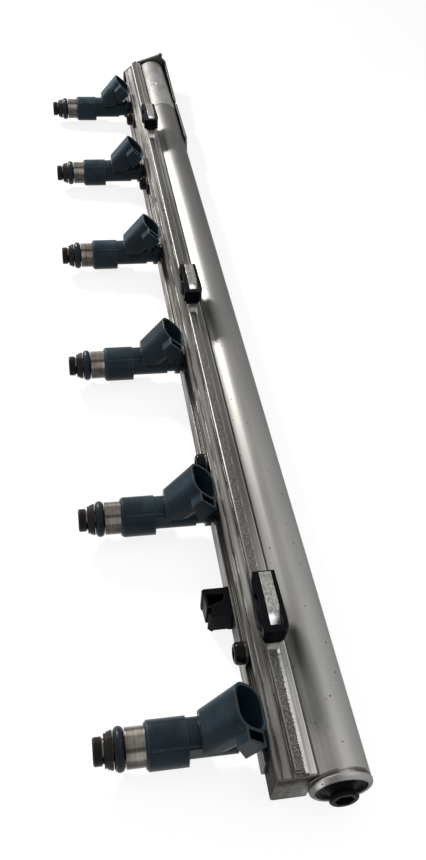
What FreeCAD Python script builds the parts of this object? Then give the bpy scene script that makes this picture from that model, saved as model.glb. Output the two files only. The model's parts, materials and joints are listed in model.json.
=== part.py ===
"""Fuel rail for a straight-six engine, with its injectors, clips, bracket and plugs.

Frame, in millimetres: +X runs along the rail towards the end with the push-in plug, +Y runs from the
injector nozzles towards the fuel tube, +Z is up. The origin is on the flat underside of the block, in
the middle of its thickness and half-way along the row of injectors.
"""
import FreeCAD, Part

import math
import os

Vector = FreeCAD.Vector

# Injector row
INJECTOR_COUNT = 6
INJECTOR_PITCH = 96.5
AXIS_Z = 9.5

# Block of the profile, seen along the rail
BLOCK_FRONT = -6.0
BLOCK_BACK = 6.0
BLOCK_TOP = 18.6
BLOCK_NEAR_OVERHANG = 20.7
BLOCK_FAR_OVERHANG = 58.7
SCORE_LINE_OFFSET = 1.6
SCORE_LINE_WIDTH = 0.5
SCORE_LINE_DEPTH = 0.4
BLOCK_FOOT_CHAMFER = 1.0

# Milled ridge, its shelf and the tongues left standing on it
RIDGE_OFFSET = 5.5
RIDGE_WIDTH = 4.25
RIDGE_HEIGHT = 2.6
RIDGE_BEVEL = 0.7
RIDGE_FAR_END_GAP = 4.5
SHELF_WIDTH = 2.65
SHELF_HEIGHT = 1.1
TONGUE_LENGTH = 21.2
TONGUE_PITCH = 193.0
TONGUE_MIDDLE_X = 13.4
TONGUE_TOP = 34.8
TONGUE_BEVEL_LENGTH = 7.0
TONGUE_BEVEL_DROP = 2.4
TONGUE_BEVEL_TWIST = 3.0
CUTTER_RUN_OUT = 3.0

# Channel for the screws along the injector side
CHANNEL_BOTTOM = 10.9
CHANNEL_TOP = 17.2
CHANNEL_DEPTH = 0.8
CHANNEL_END_MARGIN = 9.0

# Fuel tube
TUBE_Y = 14.9
TUBE_Z = 11.5
TUBE_OUTER_RADIUS = 10.1
TUBE_WALL = 2.0
TUBE_LIP_LENGTH = 2.3
TUBE_LIP_SWELL = 0.25
TUBE_LIP_LEAN = 4.5
TUBE_CREASE_WIDTH = 0.5
TUBE_CREASE_DEPTH = 0.4
TUBE_LIP_ROUND = 1.3
TUBE_MOUTH_RADIUS = 8.6
TUBE_MOUTH_DEPTH = 2.4

# Near end of the block, sawn a little out of square
END_CUT_LEAN = 2.1
SHELF_NOTCH = 1.6

# Far end of the block, cut across its front corner
FAR_CORNER_LENGTH = 15.0
FAR_CORNER_WIDTH = 8.5

# Injector cups
CUP_RADIUS = 7.0
CUP_DEPTH = 9.0
CUP_LEAD_IN = 0.6
FEED_RADIUS = 2.5

# Tapped fixing holes in the underside
FIXING_HOLE_RADIUS = 2.5
FIXING_HOLE_DEPTH = 12.0
FIXING_HOLE_SPACING = 386.0
FIXING_HOLE_POINT = 1.2

# Drawn cap over the far end of the tube
CAP_START_X = -221.5
CAP_STEP = 0.2
CAP_RELIEF = 0.4
CAP_END_ROUND = 2.5
CAP_SPIGOT_LENGTH = 14.0
CAP_DENT_RADIUS = 2.2
CAP_DENT_DEPTH = 0.7
CAP_DENT_FROM_END = 44.5

# Folded bracket round the far end, with a rolled hem along the top of its end
SHEET = 1.5
HEM_RADIUS = 1.2
HEM_KNOB_RADIUS = 1.9
HEM_LOW_Z = 18.4
HEM_HIGH_Z = 25.0
HEM_HIGH_FROM_SIDE = 4.6
BRACKET_BOTTOM = 1.0
SIDE_WALL_TOP = (20.6, 19.2, 17.0)
SIDE_WALL_BOTTOM = 3.5
SIDE_WALL_THICKNESS = 1.2
SIDE_WALL_DIP = 19.0
SIDE_WALL_LENGTH = 121.0
SIDE_WALL_NOTCH_START = 62.2
SIDE_WALL_NOTCH_WIDTH = 6.5
SIDE_WALL_NOTCH_DEPTH = 5.0
SIDE_WALL_TIP_SLANT = 6.0

# Push-in plug in the near end of the tube
PLUG_DISC_THICKNESS = 1.4
PLUG_DISC_OUT = -0.7
PLUG_NECK_RADIUS = 4.0
PLUG_NECK_FLARE = 1.6
PLUG_BUTTON_RADIUS = 4.8
PLUG_BUTTON_REACH = 3.3
PLUG_BUTTON_THICKNESS = 1.3
PLUG_SOCKET_RADIUS = 3.3
PLUG_SOCKET_DEPTH = 1.5
PLUG_SPIGOT_LENGTH = 12.0
PLUG_SEAL_SECTION = 1.3
PLUG_SEAL_FROM_DISC = 6.0

# Retainer strip along the injector side
STRIP_THICKNESS = 1.1
STRIP_BOTTOM = 0.2
STRIP_TOP = 10.5
STRIP_NEAR_MARGIN = 9.7
STRIP_FAR_MARGIN = 24.2
STRIP_END_CHAMFER = 2.4
STRIP_TAB_RADIUS = 3.9

# Screws of the retainer strip
SCREW_HEAD_RADIUS = 4.0
SCREW_HEAD_HEIGHT = 3.8
SCREW_HEAD_ROUND = 1.4
SCREW_SHANK_RADIUS = 1.9
SCREW_LENGTH = 7.0
SCREW_HEX = 2.5
SCREW_HEX_DEPTH = 1.6
SCREW_Z = 13.6
SCREW_PLACES = (-213.9, -121.8, 121.8, 213.9)

# Fits between pieces
FIT_GAP = 0.02
SEAT_GAP = 0.1

# Injector, measured from the tip of the nozzle along +Y
NOZZLE_TIP_Y = -61.0
NOZZLE_CAP_RADIUS = 4.55
NOZZLE_CAP_LENGTH = 3.0
NOZZLE_CAP_WALL = 1.2
NOZZLE_HOLE_RADIUS = 1.3
NOZZLE_TIP_RADIUS = 3.1
NECK_RING_RADIUS = 4.0
NECK_RING_WIDTH = 0.6
LOWER_GROOVE_RADIUS = 3.6
WASHER_RADII = (5.4, 5.9, 6.2)
WASHER_WIDTH = 0.95
SEAL_SECTION_RADIUS = 1.75
LOWER_SEAL_OUTER_RADIUS = 7.15
BAND_START = 10.4
BAND_RADIUS = 6.5
CAN_END = 27.4
STEM_RADIUS = 3.8
STEM_BORE_RADIUS = 2.2
STEM_FLARE_RADIUS = 5.2
STEM_FLARE_LENGTH = 1.0
STEM_BORE_START = 32.0
STEM_CUP_CLEARANCE = 1.0
UPPER_SEAL_FROM_MOUTH = 4.4

COLLAR_START = 16.65
COLLAR_END = 30.2
COLLAR_RADIUS = 8.0
COLLAR_CHAMFER = 0.9
BARREL_RADIUS = 5.7
BARREL_END = 46.7
THROAT_RADIUS = 4.9
RIM_START = 50.7
RIM_WIDTH = 2.1
RIM_RADIUS = 6.2
SHOULDER_RADIUS = 6.8
SHOULDER_WIDTH = 1.2
SHOULDER_FROM_MOUTH = 0.2
RIB_ANGLE = 50.0
RIB_WIDTH = 0.6
RIB_HEIGHT = 0.3
RIB_MARGIN = 2.0

# Connector on the injector
CONNECTOR_ANGLE = 47.5
CONNECTOR_ROOT = 33.2
CONNECTOR_REACH = 24.3
CONNECTOR_HALF_WIDTH = 8.05
CONNECTOR_HALF_HEIGHT = 6.8
CONNECTOR_CORNER = 5.4
CONNECTOR_DRAFT = 0.04
CONNECTOR_WALL = 1.0
CONNECTOR_POCKET_DEPTH = 13.0
CONNECTOR_FACE = 34.3
CONNECTOR_FLOOR = 4.5
BRIDGE_RADIUS = 7.5
BRIDGE_LAP = 3.0
LATCH_HIGH = 3.9
LATCH_LOW = -4.4
LATCH_DEPTH = 4.1
LATCH_TOP_LENGTH = 5.2
LATCH_BOTTOM_LENGTH = 9.0
LATCH_WALL = 0.8
LATCH_POCKET_LENGTH = 4.6
TERMINAL_WIDTH = 1.5
TERMINAL_THICKNESS = 0.8
TERMINAL_LENGTH = 10.5
TERMINAL_SPACING = 5.0
TERMINAL_ROOT = 3.0

# Inlet filter inside the injector's stem
FILTER_LENGTH = 9.0
FILTER_TIP_RADIUS = 1.0
FILTER_COLLAR_WIDTH = 1.5

# Black clips on the tongues
CLIP_BOTTOM_Z = 27.4
CLIP_TOP_Z = 34.4
CLIP_FRONT_WALL = 2.0
CLIP_FRONT_FLARE = 0.9
CLIP_BACK_WALL = 1.5
CLIP_BACK_BULGE = 0.3
CLIP_FAR_WALL = 0.8
CLIP_END_WALL = 2.6
CLIP_END_CORNER = 1.3
CLIP_FACE_HEIGHT = 2.6
CLIP_FOOT_TAPER = 1.9
CLIP_EAR_BOTTOM_Z = 30.6
CLIP_EAR_REACH = 1.3
CLIP_EAR_START = 5.0
CLIP_EAR_END = 2.4
CLIP_SLOT_LENGTH = 5.8
CLIP_SLOT_WIDTH = 1.2
CLIP_SLOT_FROM_NEAR = 6.5

# Snap fastener on the injector side
SNAP_X = 189.5
SNAP_Z = 5.6
SNAP_HEIGHT = 9.5
SNAP_OUTLINE = ((-6.0, 0.0), (-6.0, 9.5), (-5.3, 10.3), (-3.5, 10.3), (-3.0, 9.8), (4.9, 9.3), (6.0, 8.3), (6.4, 7.9),
                (6.4, 7.3), (6.0, 6.9), (6.0, 0.0))
SNAP_TOP_POCKET = ((-3.6, 8.8), (-3.1, 2.2), (-0.7, 2.6), (1.9, 8.6))
SNAP_BOTTOM_POCKET = ((0.8, 2.2), (4.7, 2.2), (4.7, 6.2), (2.9, 6.2))
SNAP_NOTCH = ((2.5, 11.0), (2.5, 7.6), (5.1, 7.4), (5.1, 11.0))
SNAP_WALL = 1.3
SNAP_BASE_MARGIN = 0.3
SNAP_BASE_THICKNESS = 1.5
SNAP_SPIGOT_RADIUS = 2.2
SNAP_SPIGOT_LENGTH = 5.0

ROW_HALF = (INJECTOR_COUNT - 1) / 2 * INJECTOR_PITCH
NEAR_X = ROW_HALF + BLOCK_NEAR_OVERHANG
FAR_X = -ROW_HALF - BLOCK_FAR_OVERHANG
TUBE_BORE_RADIUS = TUBE_OUTER_RADIUS - TUBE_WALL
CAP_RADIUS = TUBE_OUTER_RADIUS + CAP_STEP
RIDGE_FRONT = BLOCK_FRONT + RIDGE_OFFSET
RIDGE_BACK = RIDGE_FRONT + RIDGE_WIDTH
RIDGE_TOP = BLOCK_TOP + RIDGE_HEIGHT
SHELF_BACK = RIDGE_BACK + SHELF_WIDTH
SHELF_TOP = BLOCK_TOP + SHELF_HEIGHT
CUP_MOUTH = BLOCK_FRONT - NOZZLE_TIP_Y
STEM_END = CUP_MOUTH + CUP_DEPTH - STEM_CUP_CLEARANCE
SLOT_RADIUS = THROAT_RADIUS + SEAT_GAP


def box(x0, x1, y0, y1, z0, z1):
    """A block between two corners."""
    return Part.makeBox(x1 - x0, y1 - y0, z1 - z0, Vector(x0, y0, z0))


def rod(radius, start, direction, length):
    """A round bar from a point along a direction."""
    return Part.makeCylinder(radius, length, Vector(*start), Vector(*direction))


def prism_along_x(outline, x0, x1):
    """A straight profile: (y, z) points drawn at x0 and extruded to x1."""
    points = [Vector(x0, y, z) for y, z in outline]
    points.append(points[0])
    return Part.Face(Part.makePolygon(points)).extrude(Vector(x1 - x0, 0, 0))


def prism_along_z(outline, z0, z1):
    """A straight profile: (x, y) points drawn at z0 and extruded to z1."""
    points = [Vector(x, y, z0) for x, y in outline]
    points.append(points[0])
    return Part.Face(Part.makePolygon(points)).extrude(Vector(0, 0, z1 - z0))


def prism_along_y(outline, y0, y1):
    """A straight profile: (x, z) points drawn at y0 and extruded to y1."""
    points = [Vector(x, y0, z) for x, z in outline]
    points.append(points[0])
    return Part.Face(Part.makePolygon(points)).extrude(Vector(0, y1 - y0, 0))


def turned(profile):
    """A turned piece: (radius, length) points turned once round the Y axis."""
    points = [Vector(radius, length, 0) for radius, length in profile]
    points.append(points[0])
    face = Part.Face(Part.makePolygon(points))
    return face.revolve(Vector(0, 0, 0), Vector(0, 1, 0), 360)


def ring_round_y(outer_radius, section_radius, length):
    """A round seal whose axis is Y, with its middle at a length along it."""
    centre = Vector(0, length, 0)
    return Part.makeTorus(outer_radius - section_radius, section_radius, centre, Vector(0, 1, 0))


def injector_x(index):
    """Place of one injector along the rail, counted from the far end."""
    return index * INJECTOR_PITCH - ROW_HALF


def at_injector(shape, index):
    """A piece drawn round the Y axis from the nozzle tip, moved to its injector."""
    return shape.translated(Vector(injector_x(index), NOZZLE_TIP_Y, AXIS_Z))


def tongue_span(index):
    """Far and near end of one tongue."""
    middle = TONGUE_MIDDLE_X + (index - 1) * TONGUE_PITCH
    return middle - TONGUE_LENGTH / 2, middle + TONGUE_LENGTH / 2


def end_saw_cut():
    """What the saw takes off the near end of the block, leaning back towards the underside."""
    return prism_along_y(
        [(NEAR_X - END_CUT_LEAN, 0), (NEAR_X, BLOCK_TOP), (NEAR_X, TONGUE_TOP), (NEAR_X + 1, TONGUE_TOP),
         (NEAR_X + 1, -1), (NEAR_X - END_CUT_LEAN, -1)], BLOCK_FRONT - 1, TUBE_Y + 1)


def block_profile():
    """Block, ridge and shelf of the profile, seen along the rail."""
    outline = [
        (BLOCK_FRONT + BLOCK_FOOT_CHAMFER, 0),
        (BLOCK_BACK, 0),
        (BLOCK_BACK, TUBE_Z - TUBE_BORE_RADIUS),
        (TUBE_Y - TUBE_WALL, TUBE_Z - TUBE_BORE_RADIUS),
        (TUBE_Y - TUBE_WALL, TUBE_Z + TUBE_BORE_RADIUS / 2),
        (SHELF_BACK, BLOCK_TOP - 1.5),
        (SHELF_BACK, SHELF_TOP),
        (RIDGE_BACK, SHELF_TOP),
        (RIDGE_BACK, RIDGE_TOP - RIDGE_BEVEL),
        (RIDGE_BACK - RIDGE_BEVEL, RIDGE_TOP),
        (RIDGE_FRONT, RIDGE_TOP),
        (RIDGE_FRONT, BLOCK_TOP),
        (BLOCK_FRONT + SCORE_LINE_OFFSET + SCORE_LINE_WIDTH, BLOCK_TOP),
        (BLOCK_FRONT + SCORE_LINE_OFFSET + SCORE_LINE_WIDTH / 2, BLOCK_TOP - SCORE_LINE_DEPTH),
        (BLOCK_FRONT + SCORE_LINE_OFFSET, BLOCK_TOP),
        (BLOCK_FRONT, BLOCK_TOP),
        (BLOCK_FRONT, BLOCK_FOOT_CHAMFER),
    ]
    return outline


def tongue(index):
    """One tongue of the old ridge, with the bevel at its near end and the cutter's run-out."""
    far, near = tongue_span(index)
    blade = box(far, near, RIDGE_FRONT, RIDGE_BACK, BLOCK_TOP, TONGUE_TOP)
    bevel_start = near - TONGUE_BEVEL_LENGTH
    drop_front = TONGUE_TOP - TONGUE_BEVEL_DROP
    drop_back = drop_front - TONGUE_BEVEL_TWIST
    over = 1.0
    rings = [
        [Vector(bevel_start, RIDGE_FRONT, TONGUE_TOP), Vector(near + over, RIDGE_FRONT, drop_front),
         Vector(near + over, RIDGE_FRONT, TONGUE_TOP + over), Vector(bevel_start, RIDGE_FRONT, TONGUE_TOP + over)],
        [Vector(bevel_start, RIDGE_BACK, TONGUE_TOP), Vector(near + over, RIDGE_BACK, drop_back),
         Vector(near + over, RIDGE_BACK, TONGUE_TOP + over), Vector(bevel_start, RIDGE_BACK, TONGUE_TOP + over)],
    ]
    wires = [Part.makePolygon(ring + [ring[0]]) for ring in rings]
    blade = blade.cut(Part.makeLoft(wires, True, True))
    corner = box(near, near + CUTTER_RUN_OUT, RIDGE_FRONT, RIDGE_BACK, BLOCK_TOP, RIDGE_TOP + CUTTER_RUN_OUT)
    sweep = rod(CUTTER_RUN_OUT, (near + CUTTER_RUN_OUT, RIDGE_FRONT - 1, RIDGE_TOP + CUTTER_RUN_OUT), (0, 1, 0),
                RIDGE_WIDTH + 2)
    return blade.fuse(corner.cut(sweep))


def cup(index):
    """The bored cup of one injector, with its lead-in and its feed hole to the tube."""
    x = injector_x(index)
    bore = rod(CUP_RADIUS, (x, BLOCK_FRONT - 1, AXIS_Z), (0, 1, 0), CUP_DEPTH + 1)
    lead_in = Part.makeCone(CUP_RADIUS + CUP_LEAD_IN, CUP_RADIUS, CUP_LEAD_IN,
                            Vector(x, BLOCK_FRONT, AXIS_Z), Vector(0, 1, 0))
    feed = rod(FEED_RADIUS, (x, BLOCK_FRONT + CUP_DEPTH - 1, AXIS_Z), (0, 1, 0), TUBE_Y - BLOCK_FRONT - CUP_DEPTH)
    return bore.fuse([lead_in, feed])


def fixing_hole(x):
    """A blind tapped hole in the underside, with the drill's point."""
    hole = rod(FIXING_HOLE_RADIUS, (x, 0, -1), (0, 0, 1), FIXING_HOLE_DEPTH + 1)
    point = Part.makeCone(FIXING_HOLE_RADIUS, 0, FIXING_HOLE_POINT, Vector(x, 0, FIXING_HOLE_DEPTH), Vector(0, 0, 1))
    return hole.fuse(point)


def rail_extrusion():
    """The one-piece profile with everything that is machined into it."""
    block = prism_along_x(block_profile(), FAR_X, NEAR_X)
    tube_end = NEAR_X + TUBE_LIP_LENGTH
    tube = rod(TUBE_OUTER_RADIUS, (CAP_START_X, TUBE_Y, TUBE_Z), (1, 0, 0), NEAR_X - CAP_START_X)
    lip = rod(TUBE_OUTER_RADIUS + TUBE_LIP_SWELL, (NEAR_X + TUBE_CREASE_WIDTH, TUBE_Y, TUBE_Z), (1, 0, 0),
              TUBE_LIP_LENGTH - TUBE_CREASE_WIDTH)
    rounded = [edge for edge in lip.Edges if abs(edge.CenterOfMass.x - tube_end) < 0.01]
    lip = lip.makeFillet(TUBE_LIP_ROUND, rounded)
    lip.rotate(Vector(NEAR_X, TUBE_Y, TUBE_Z), Vector(0, 1, 0), TUBE_LIP_LEAN)
    crease = rod(TUBE_OUTER_RADIUS - TUBE_CREASE_DEPTH, (NEAR_X - 1, TUBE_Y, TUBE_Z), (1, 0, 0), 1 + TUBE_LIP_ROUND)
    cap_room = rod(CAP_RADIUS + CAP_RELIEF, (FAR_X - 1, TUBE_Y, TUBE_Z), (1, 0, 0), CAP_START_X - FAR_X + 1)
    behind_block = box(FAR_X - 1, CAP_START_X, SHELF_BACK, TUBE_Y, -1, RIDGE_TOP)
    block = block.cut([cap_room, behind_block, end_saw_cut()])
    body = block.fuse([tube, crease, lip] + [tongue(index) for index in range(3)])

    bore = rod(TUBE_BORE_RADIUS, (FAR_X, TUBE_Y, TUBE_Z), (1, 0, 0), tube_end - FAR_X + 1)
    mouth = rod(TUBE_MOUTH_RADIUS, (tube_end - TUBE_MOUTH_DEPTH, TUBE_Y, TUBE_Z), (1, 0, 0), TUBE_MOUTH_DEPTH + 1)
    notch = box(NEAR_X - SHELF_NOTCH, NEAR_X + 1, RIDGE_FRONT, RIDGE_BACK, BLOCK_TOP + SHELF_HEIGHT / 2, RIDGE_TOP + 1)
    far_step = box(FAR_X - 1, FAR_X + RIDGE_FAR_END_GAP, RIDGE_FRONT - 1, RIDGE_BACK, BLOCK_TOP, RIDGE_TOP + 1)
    channel_near = NEAR_X - CHANNEL_END_MARGIN
    channel = box(FAR_X - 1, channel_near, BLOCK_FRONT - 1, BLOCK_FRONT + CHANNEL_DEPTH, CHANNEL_BOTTOM, CHANNEL_TOP)
    corner = prism_along_z(
        [(FAR_X - 1, BLOCK_FRONT - 1), (FAR_X + FAR_CORNER_LENGTH, BLOCK_FRONT - 1),
         (FAR_X + FAR_CORNER_LENGTH, BLOCK_FRONT), (FAR_X, BLOCK_FRONT + FAR_CORNER_WIDTH),
         (FAR_X - 1, BLOCK_FRONT + FAR_CORNER_WIDTH)], -1, TONGUE_TOP)
    screw_hole_depth = SCREW_LENGTH + STRIP_THICKNESS
    screw_holes = [rod(SCREW_SHANK_RADIUS + FIT_GAP, (x, BLOCK_FRONT - 1, SCREW_Z), (0, 1, 0), screw_hole_depth)
                   for x in SCREW_PLACES]
    snap_hole = rod(SNAP_SPIGOT_RADIUS + FIT_GAP, (SNAP_X, BLOCK_FRONT - 1, SNAP_Z), (0, 1, 0),
                    SNAP_SPIGOT_LENGTH + 1.5)
    holes = [fixing_hole(side * FIXING_HOLE_SPACING / 2) for side in (-1, 1)]
    cups = [cup(index) for index in range(INJECTOR_COUNT)]
    return body.cut([bore, mouth, notch, far_step, channel, corner, snap_hole] + screw_holes + holes + cups)


def tube_end_cap():
    """The duller cap: a round-ended plug over the far end of the tube, with a spigot in its bore."""
    start = FAR_X + SEAT_GAP
    cap = rod(CAP_RADIUS, (start, TUBE_Y, TUBE_Z), (1, 0, 0), CAP_START_X - SEAT_GAP - start)
    rounded = [edge for edge in cap.Edges if abs(edge.CenterOfMass.x - start) < 0.01]
    cap = cap.makeFillet(CAP_END_ROUND, rounded)
    spigot = rod(TUBE_BORE_RADIUS - FIT_GAP, (CAP_START_X - 1, TUBE_Y, TUBE_Z), (1, 0, 0), CAP_SPIGOT_LENGTH + 1)
    hollow = rod(TUBE_BORE_RADIUS - TUBE_WALL, (FAR_X + 4 * TUBE_WALL, TUBE_Y, TUBE_Z), (1, 0, 0),
                 CAP_START_X - FAR_X + CAP_SPIGOT_LENGTH)
    dent_x = FAR_X + CAP_DENT_FROM_END
    dent = Part.makeSphere(CAP_DENT_RADIUS, Vector(dent_x, TUBE_Y - CAP_DENT_RADIUS,
                                                   TUBE_Z + CAP_RADIUS + CAP_DENT_RADIUS - CAP_DENT_DEPTH))
    return cap.fuse(spigot).cut([hollow, dent])


def bar_between(radius, start, end):
    """A round bar between two points."""
    reach = Vector(*end) - Vector(*start)
    return Part.makeCylinder(radius, reach.Length, Vector(*start), reach)


def far_end_bracket():
    """The folded sheet: a wing on the cut corner, the end wall under its rolled hem, and the side wall."""
    inner = FAR_X - SEAT_GAP
    outer = inner - SHEET
    side_inner = TUBE_Y + CAP_RADIUS + SEAT_GAP
    side_outer = side_inner + SIDE_WALL_THICKNESS
    fold_y = BLOCK_FRONT + FAR_CORNER_WIDTH
    slant = math.atan2(FAR_CORNER_WIDTH, FAR_CORNER_LENGTH)
    out = Vector(-math.sin(slant), -math.cos(slant), 0)
    tip = Vector(FAR_X + FAR_CORNER_LENGTH, BLOCK_FRONT, 0)
    fold = Vector(inner, fold_y, 0)

    wing = [tip + out * SEAT_GAP, fold + out * SEAT_GAP, fold + out * (SEAT_GAP + SHEET), tip + out * (SEAT_GAP + SHEET)]
    wing = prism_along_z([(point.x, point.y) for point in wing], BRACKET_BOTTOM, HEM_LOW_Z)
    corner = rod(SHEET, (inner, fold_y, BRACKET_BOTTOM), (0, 0, 1), HEM_LOW_Z - BRACKET_BOTTOM)
    corner = corner.cut(box(inner, inner + SHEET, fold_y - SHEET, fold_y + SHEET, 0, HEM_HIGH_Z))
    wall = prism_along_x([(fold_y, BRACKET_BOTTOM), (side_outer, BRACKET_BOTTOM), (side_outer, SIDE_WALL_TOP[0]),
                          (side_outer - HEM_HIGH_FROM_SIDE, HEM_HIGH_Z), (fold_y, HEM_LOW_Z)], outer, inner)
    hem_x = inner - HEM_RADIUS
    hem_low = (hem_x, fold_y, HEM_LOW_Z)
    hem_high = (hem_x, side_outer - HEM_HIGH_FROM_SIDE, HEM_HIGH_Z)
    hems = [
        bar_between(HEM_RADIUS, hem_low, hem_high),
        Part.makeSphere(HEM_KNOB_RADIUS, Vector(*hem_low)),
        Part.makeSphere(HEM_KNOB_RADIUS, Vector(*hem_high)),
    ]
    clear = box(inner, inner + FAR_CORNER_LENGTH, fold_y - SEAT_GAP, side_outer, 0, HEM_HIGH_Z + 2 * HEM_KNOB_RADIUS)
    corner_block = prism_along_z(
        [(inner, fold_y), (tip.x + SHEET, tip.y), (tip.x + SHEET, fold_y)], 0, HEM_HIGH_Z + 2 * HEM_KNOB_RADIUS)
    corner_block.translate(out * SEAT_GAP)
    hems = [hem.cut([clear, corner_block]) for hem in hems]

    notch = inner + SIDE_WALL_NOTCH_START
    notch_end = notch + SIDE_WALL_NOTCH_WIDTH
    top_far, top_dip, top_end = SIDE_WALL_TOP
    side = prism_along_y([
        (outer, SIDE_WALL_BOTTOM), (outer, top_far), (inner, top_far),
        (inner + SIDE_WALL_DIP, top_dip), (notch, top_end),
        (notch, top_end - SIDE_WALL_NOTCH_DEPTH), (notch_end, top_end - SIDE_WALL_NOTCH_DEPTH),
        (notch_end, top_end), (inner + SIDE_WALL_LENGTH, top_end),
        (inner + SIDE_WALL_LENGTH + SIDE_WALL_TIP_SLANT, SIDE_WALL_BOTTOM + 2),
        (inner + SIDE_WALL_LENGTH + SIDE_WALL_TIP_SLANT - 2, SIDE_WALL_BOTTOM),
    ], side_inner, side_outer)
    return wall.fuse([wing, corner, side] + hems).removeSplitter()


def near_end_plug():
    """The spool-shaped plug: spigot, dished disc, waisted neck and a button with a hexagon socket."""
    disc_face = PLUG_DISC_OUT
    disc_back = disc_face - PLUG_DISC_THICKNESS
    disc_radius = TUBE_MOUTH_RADIUS - SEAT_GAP
    spigot_radius = TUBE_BORE_RADIUS - SEAT_GAP
    button_back = PLUG_BUTTON_REACH - PLUG_BUTTON_THICKNESS
    groove_radius = TUBE_BORE_RADIUS - 2 * PLUG_SEAL_SECTION
    groove_start = disc_back - PLUG_SEAL_FROM_DISC - PLUG_SEAL_SECTION - SEAT_GAP
    groove_end = disc_back - PLUG_SEAL_FROM_DISC + PLUG_SEAL_SECTION + SEAT_GAP
    body = turned([
        (0, disc_back - PLUG_SPIGOT_LENGTH),
        (spigot_radius - 1, disc_back - PLUG_SPIGOT_LENGTH),
        (spigot_radius, disc_back - PLUG_SPIGOT_LENGTH + 1),
        (spigot_radius, groove_start),
        (groove_radius - FIT_GAP, groove_start),
        (groove_radius - FIT_GAP, groove_end),
        (spigot_radius, groove_end),
        (spigot_radius, disc_back),
        (disc_radius, disc_back),
        (disc_radius, disc_face),
        (disc_radius - 0.8, disc_face),
        (disc_radius - 1.4, disc_face - 0.6),
        (PLUG_NECK_RADIUS + PLUG_NECK_FLARE, disc_face - 0.4),
        (PLUG_NECK_RADIUS + PLUG_NECK_FLARE / 3, disc_face + 0.6),
        (PLUG_NECK_RADIUS, disc_face + PLUG_NECK_FLARE),
        (PLUG_NECK_RADIUS, button_back - 0.6),
        (PLUG_BUTTON_RADIUS, button_back),
        (PLUG_BUTTON_RADIUS, PLUG_BUTTON_REACH - 0.4),
        (PLUG_BUTTON_RADIUS - 0.4, PLUG_BUTTON_REACH),
        (0, PLUG_BUTTON_REACH),
    ])
    hexagon = [(PLUG_SOCKET_RADIUS * math.cos(math.radians(60 * k)), PLUG_SOCKET_RADIUS * math.sin(math.radians(60 * k)))
               for k in range(6)]
    socket = prism_along_y(hexagon, PLUG_BUTTON_REACH - PLUG_SOCKET_DEPTH, PLUG_BUTTON_REACH + 1)
    body = body.cut(socket)
    body.rotate(Vector(0, 0, 0), Vector(0, 0, 1), -90)
    return body.translated(Vector(NEAR_X + TUBE_LIP_LENGTH, TUBE_Y, TUBE_Z))


def near_plug_seal():
    """The seal ring in the plug's groove."""
    x = NEAR_X + TUBE_LIP_LENGTH + PLUG_DISC_OUT - PLUG_DISC_THICKNESS - PLUG_SEAL_FROM_DISC
    major = TUBE_BORE_RADIUS - PLUG_SEAL_SECTION - FIT_GAP
    return Part.makeTorus(major, PLUG_SEAL_SECTION - FIT_GAP, Vector(x, TUBE_Y, TUBE_Z), Vector(1, 0, 0))


def retainer_strip():
    """The sheet strip with a slot for each injector's throat and a tab for each screw."""
    front = BLOCK_FRONT - STRIP_THICKNESS
    far = FAR_X + STRIP_FAR_MARGIN
    near = NEAR_X - STRIP_NEAR_MARGIN
    strip = prism_along_y(
        [(far, STRIP_BOTTOM), (near - STRIP_END_CHAMFER / 2, STRIP_BOTTOM), (near, STRIP_BOTTOM + STRIP_END_CHAMFER),
         (near, STRIP_TOP), (far, STRIP_TOP)], front, BLOCK_FRONT)
    tabs = []
    cuts = []
    for x in SCREW_PLACES:
        tabs.append(box(x - STRIP_TAB_RADIUS, x + STRIP_TAB_RADIUS, front, BLOCK_FRONT, STRIP_TOP - 1, SCREW_Z))
        tabs.append(rod(STRIP_TAB_RADIUS, (x, front, SCREW_Z), (0, 1, 0), STRIP_THICKNESS))
        cuts.append(rod(SCREW_SHANK_RADIUS + SEAT_GAP, (x, front - 1, SCREW_Z), (0, 1, 0), STRIP_THICKNESS + 2))
    for index in range(INJECTOR_COUNT):
        x = injector_x(index)
        cuts.append(rod(SLOT_RADIUS, (x, front - 1, AXIS_Z), (0, 1, 0), STRIP_THICKNESS + 2))
        cuts.append(box(x - SLOT_RADIUS, x + SLOT_RADIUS, front - 1, BLOCK_FRONT + 1, AXIS_Z, STRIP_TOP + 1))
    cuts.append(rod(SNAP_SPIGOT_RADIUS + SEAT_GAP, (SNAP_X, front - 1, SNAP_Z), (0, 1, 0), STRIP_THICKNESS + 2))
    return strip.fuse(tabs).removeSplitter().cut(cuts)


def retainer_screw(x):
    """One button-head screw with a hexagon socket."""
    seat = BLOCK_FRONT - STRIP_THICKNESS
    head = rod(SCREW_HEAD_RADIUS, (0, -SCREW_HEAD_HEIGHT, 0), (0, 1, 0), SCREW_HEAD_HEIGHT)
    rounded = [edge for edge in head.Edges if abs(edge.CenterOfMass.y + SCREW_HEAD_HEIGHT) < 0.01]
    head = head.makeFillet(SCREW_HEAD_ROUND, rounded)
    shank = rod(SCREW_SHANK_RADIUS, (0, 0, 0), (0, 1, 0), SCREW_LENGTH)
    hexagon = [(SCREW_HEX * math.cos(math.radians(60 * k)), SCREW_HEX * math.sin(math.radians(60 * k)))
               for k in range(6)]
    socket = prism_along_y(hexagon, -SCREW_HEAD_HEIGHT - 1, SCREW_HEX_DEPTH - SCREW_HEAD_HEIGHT)
    return head.fuse(shank).cut(socket).translated(Vector(x, seat, SCREW_Z))


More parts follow.
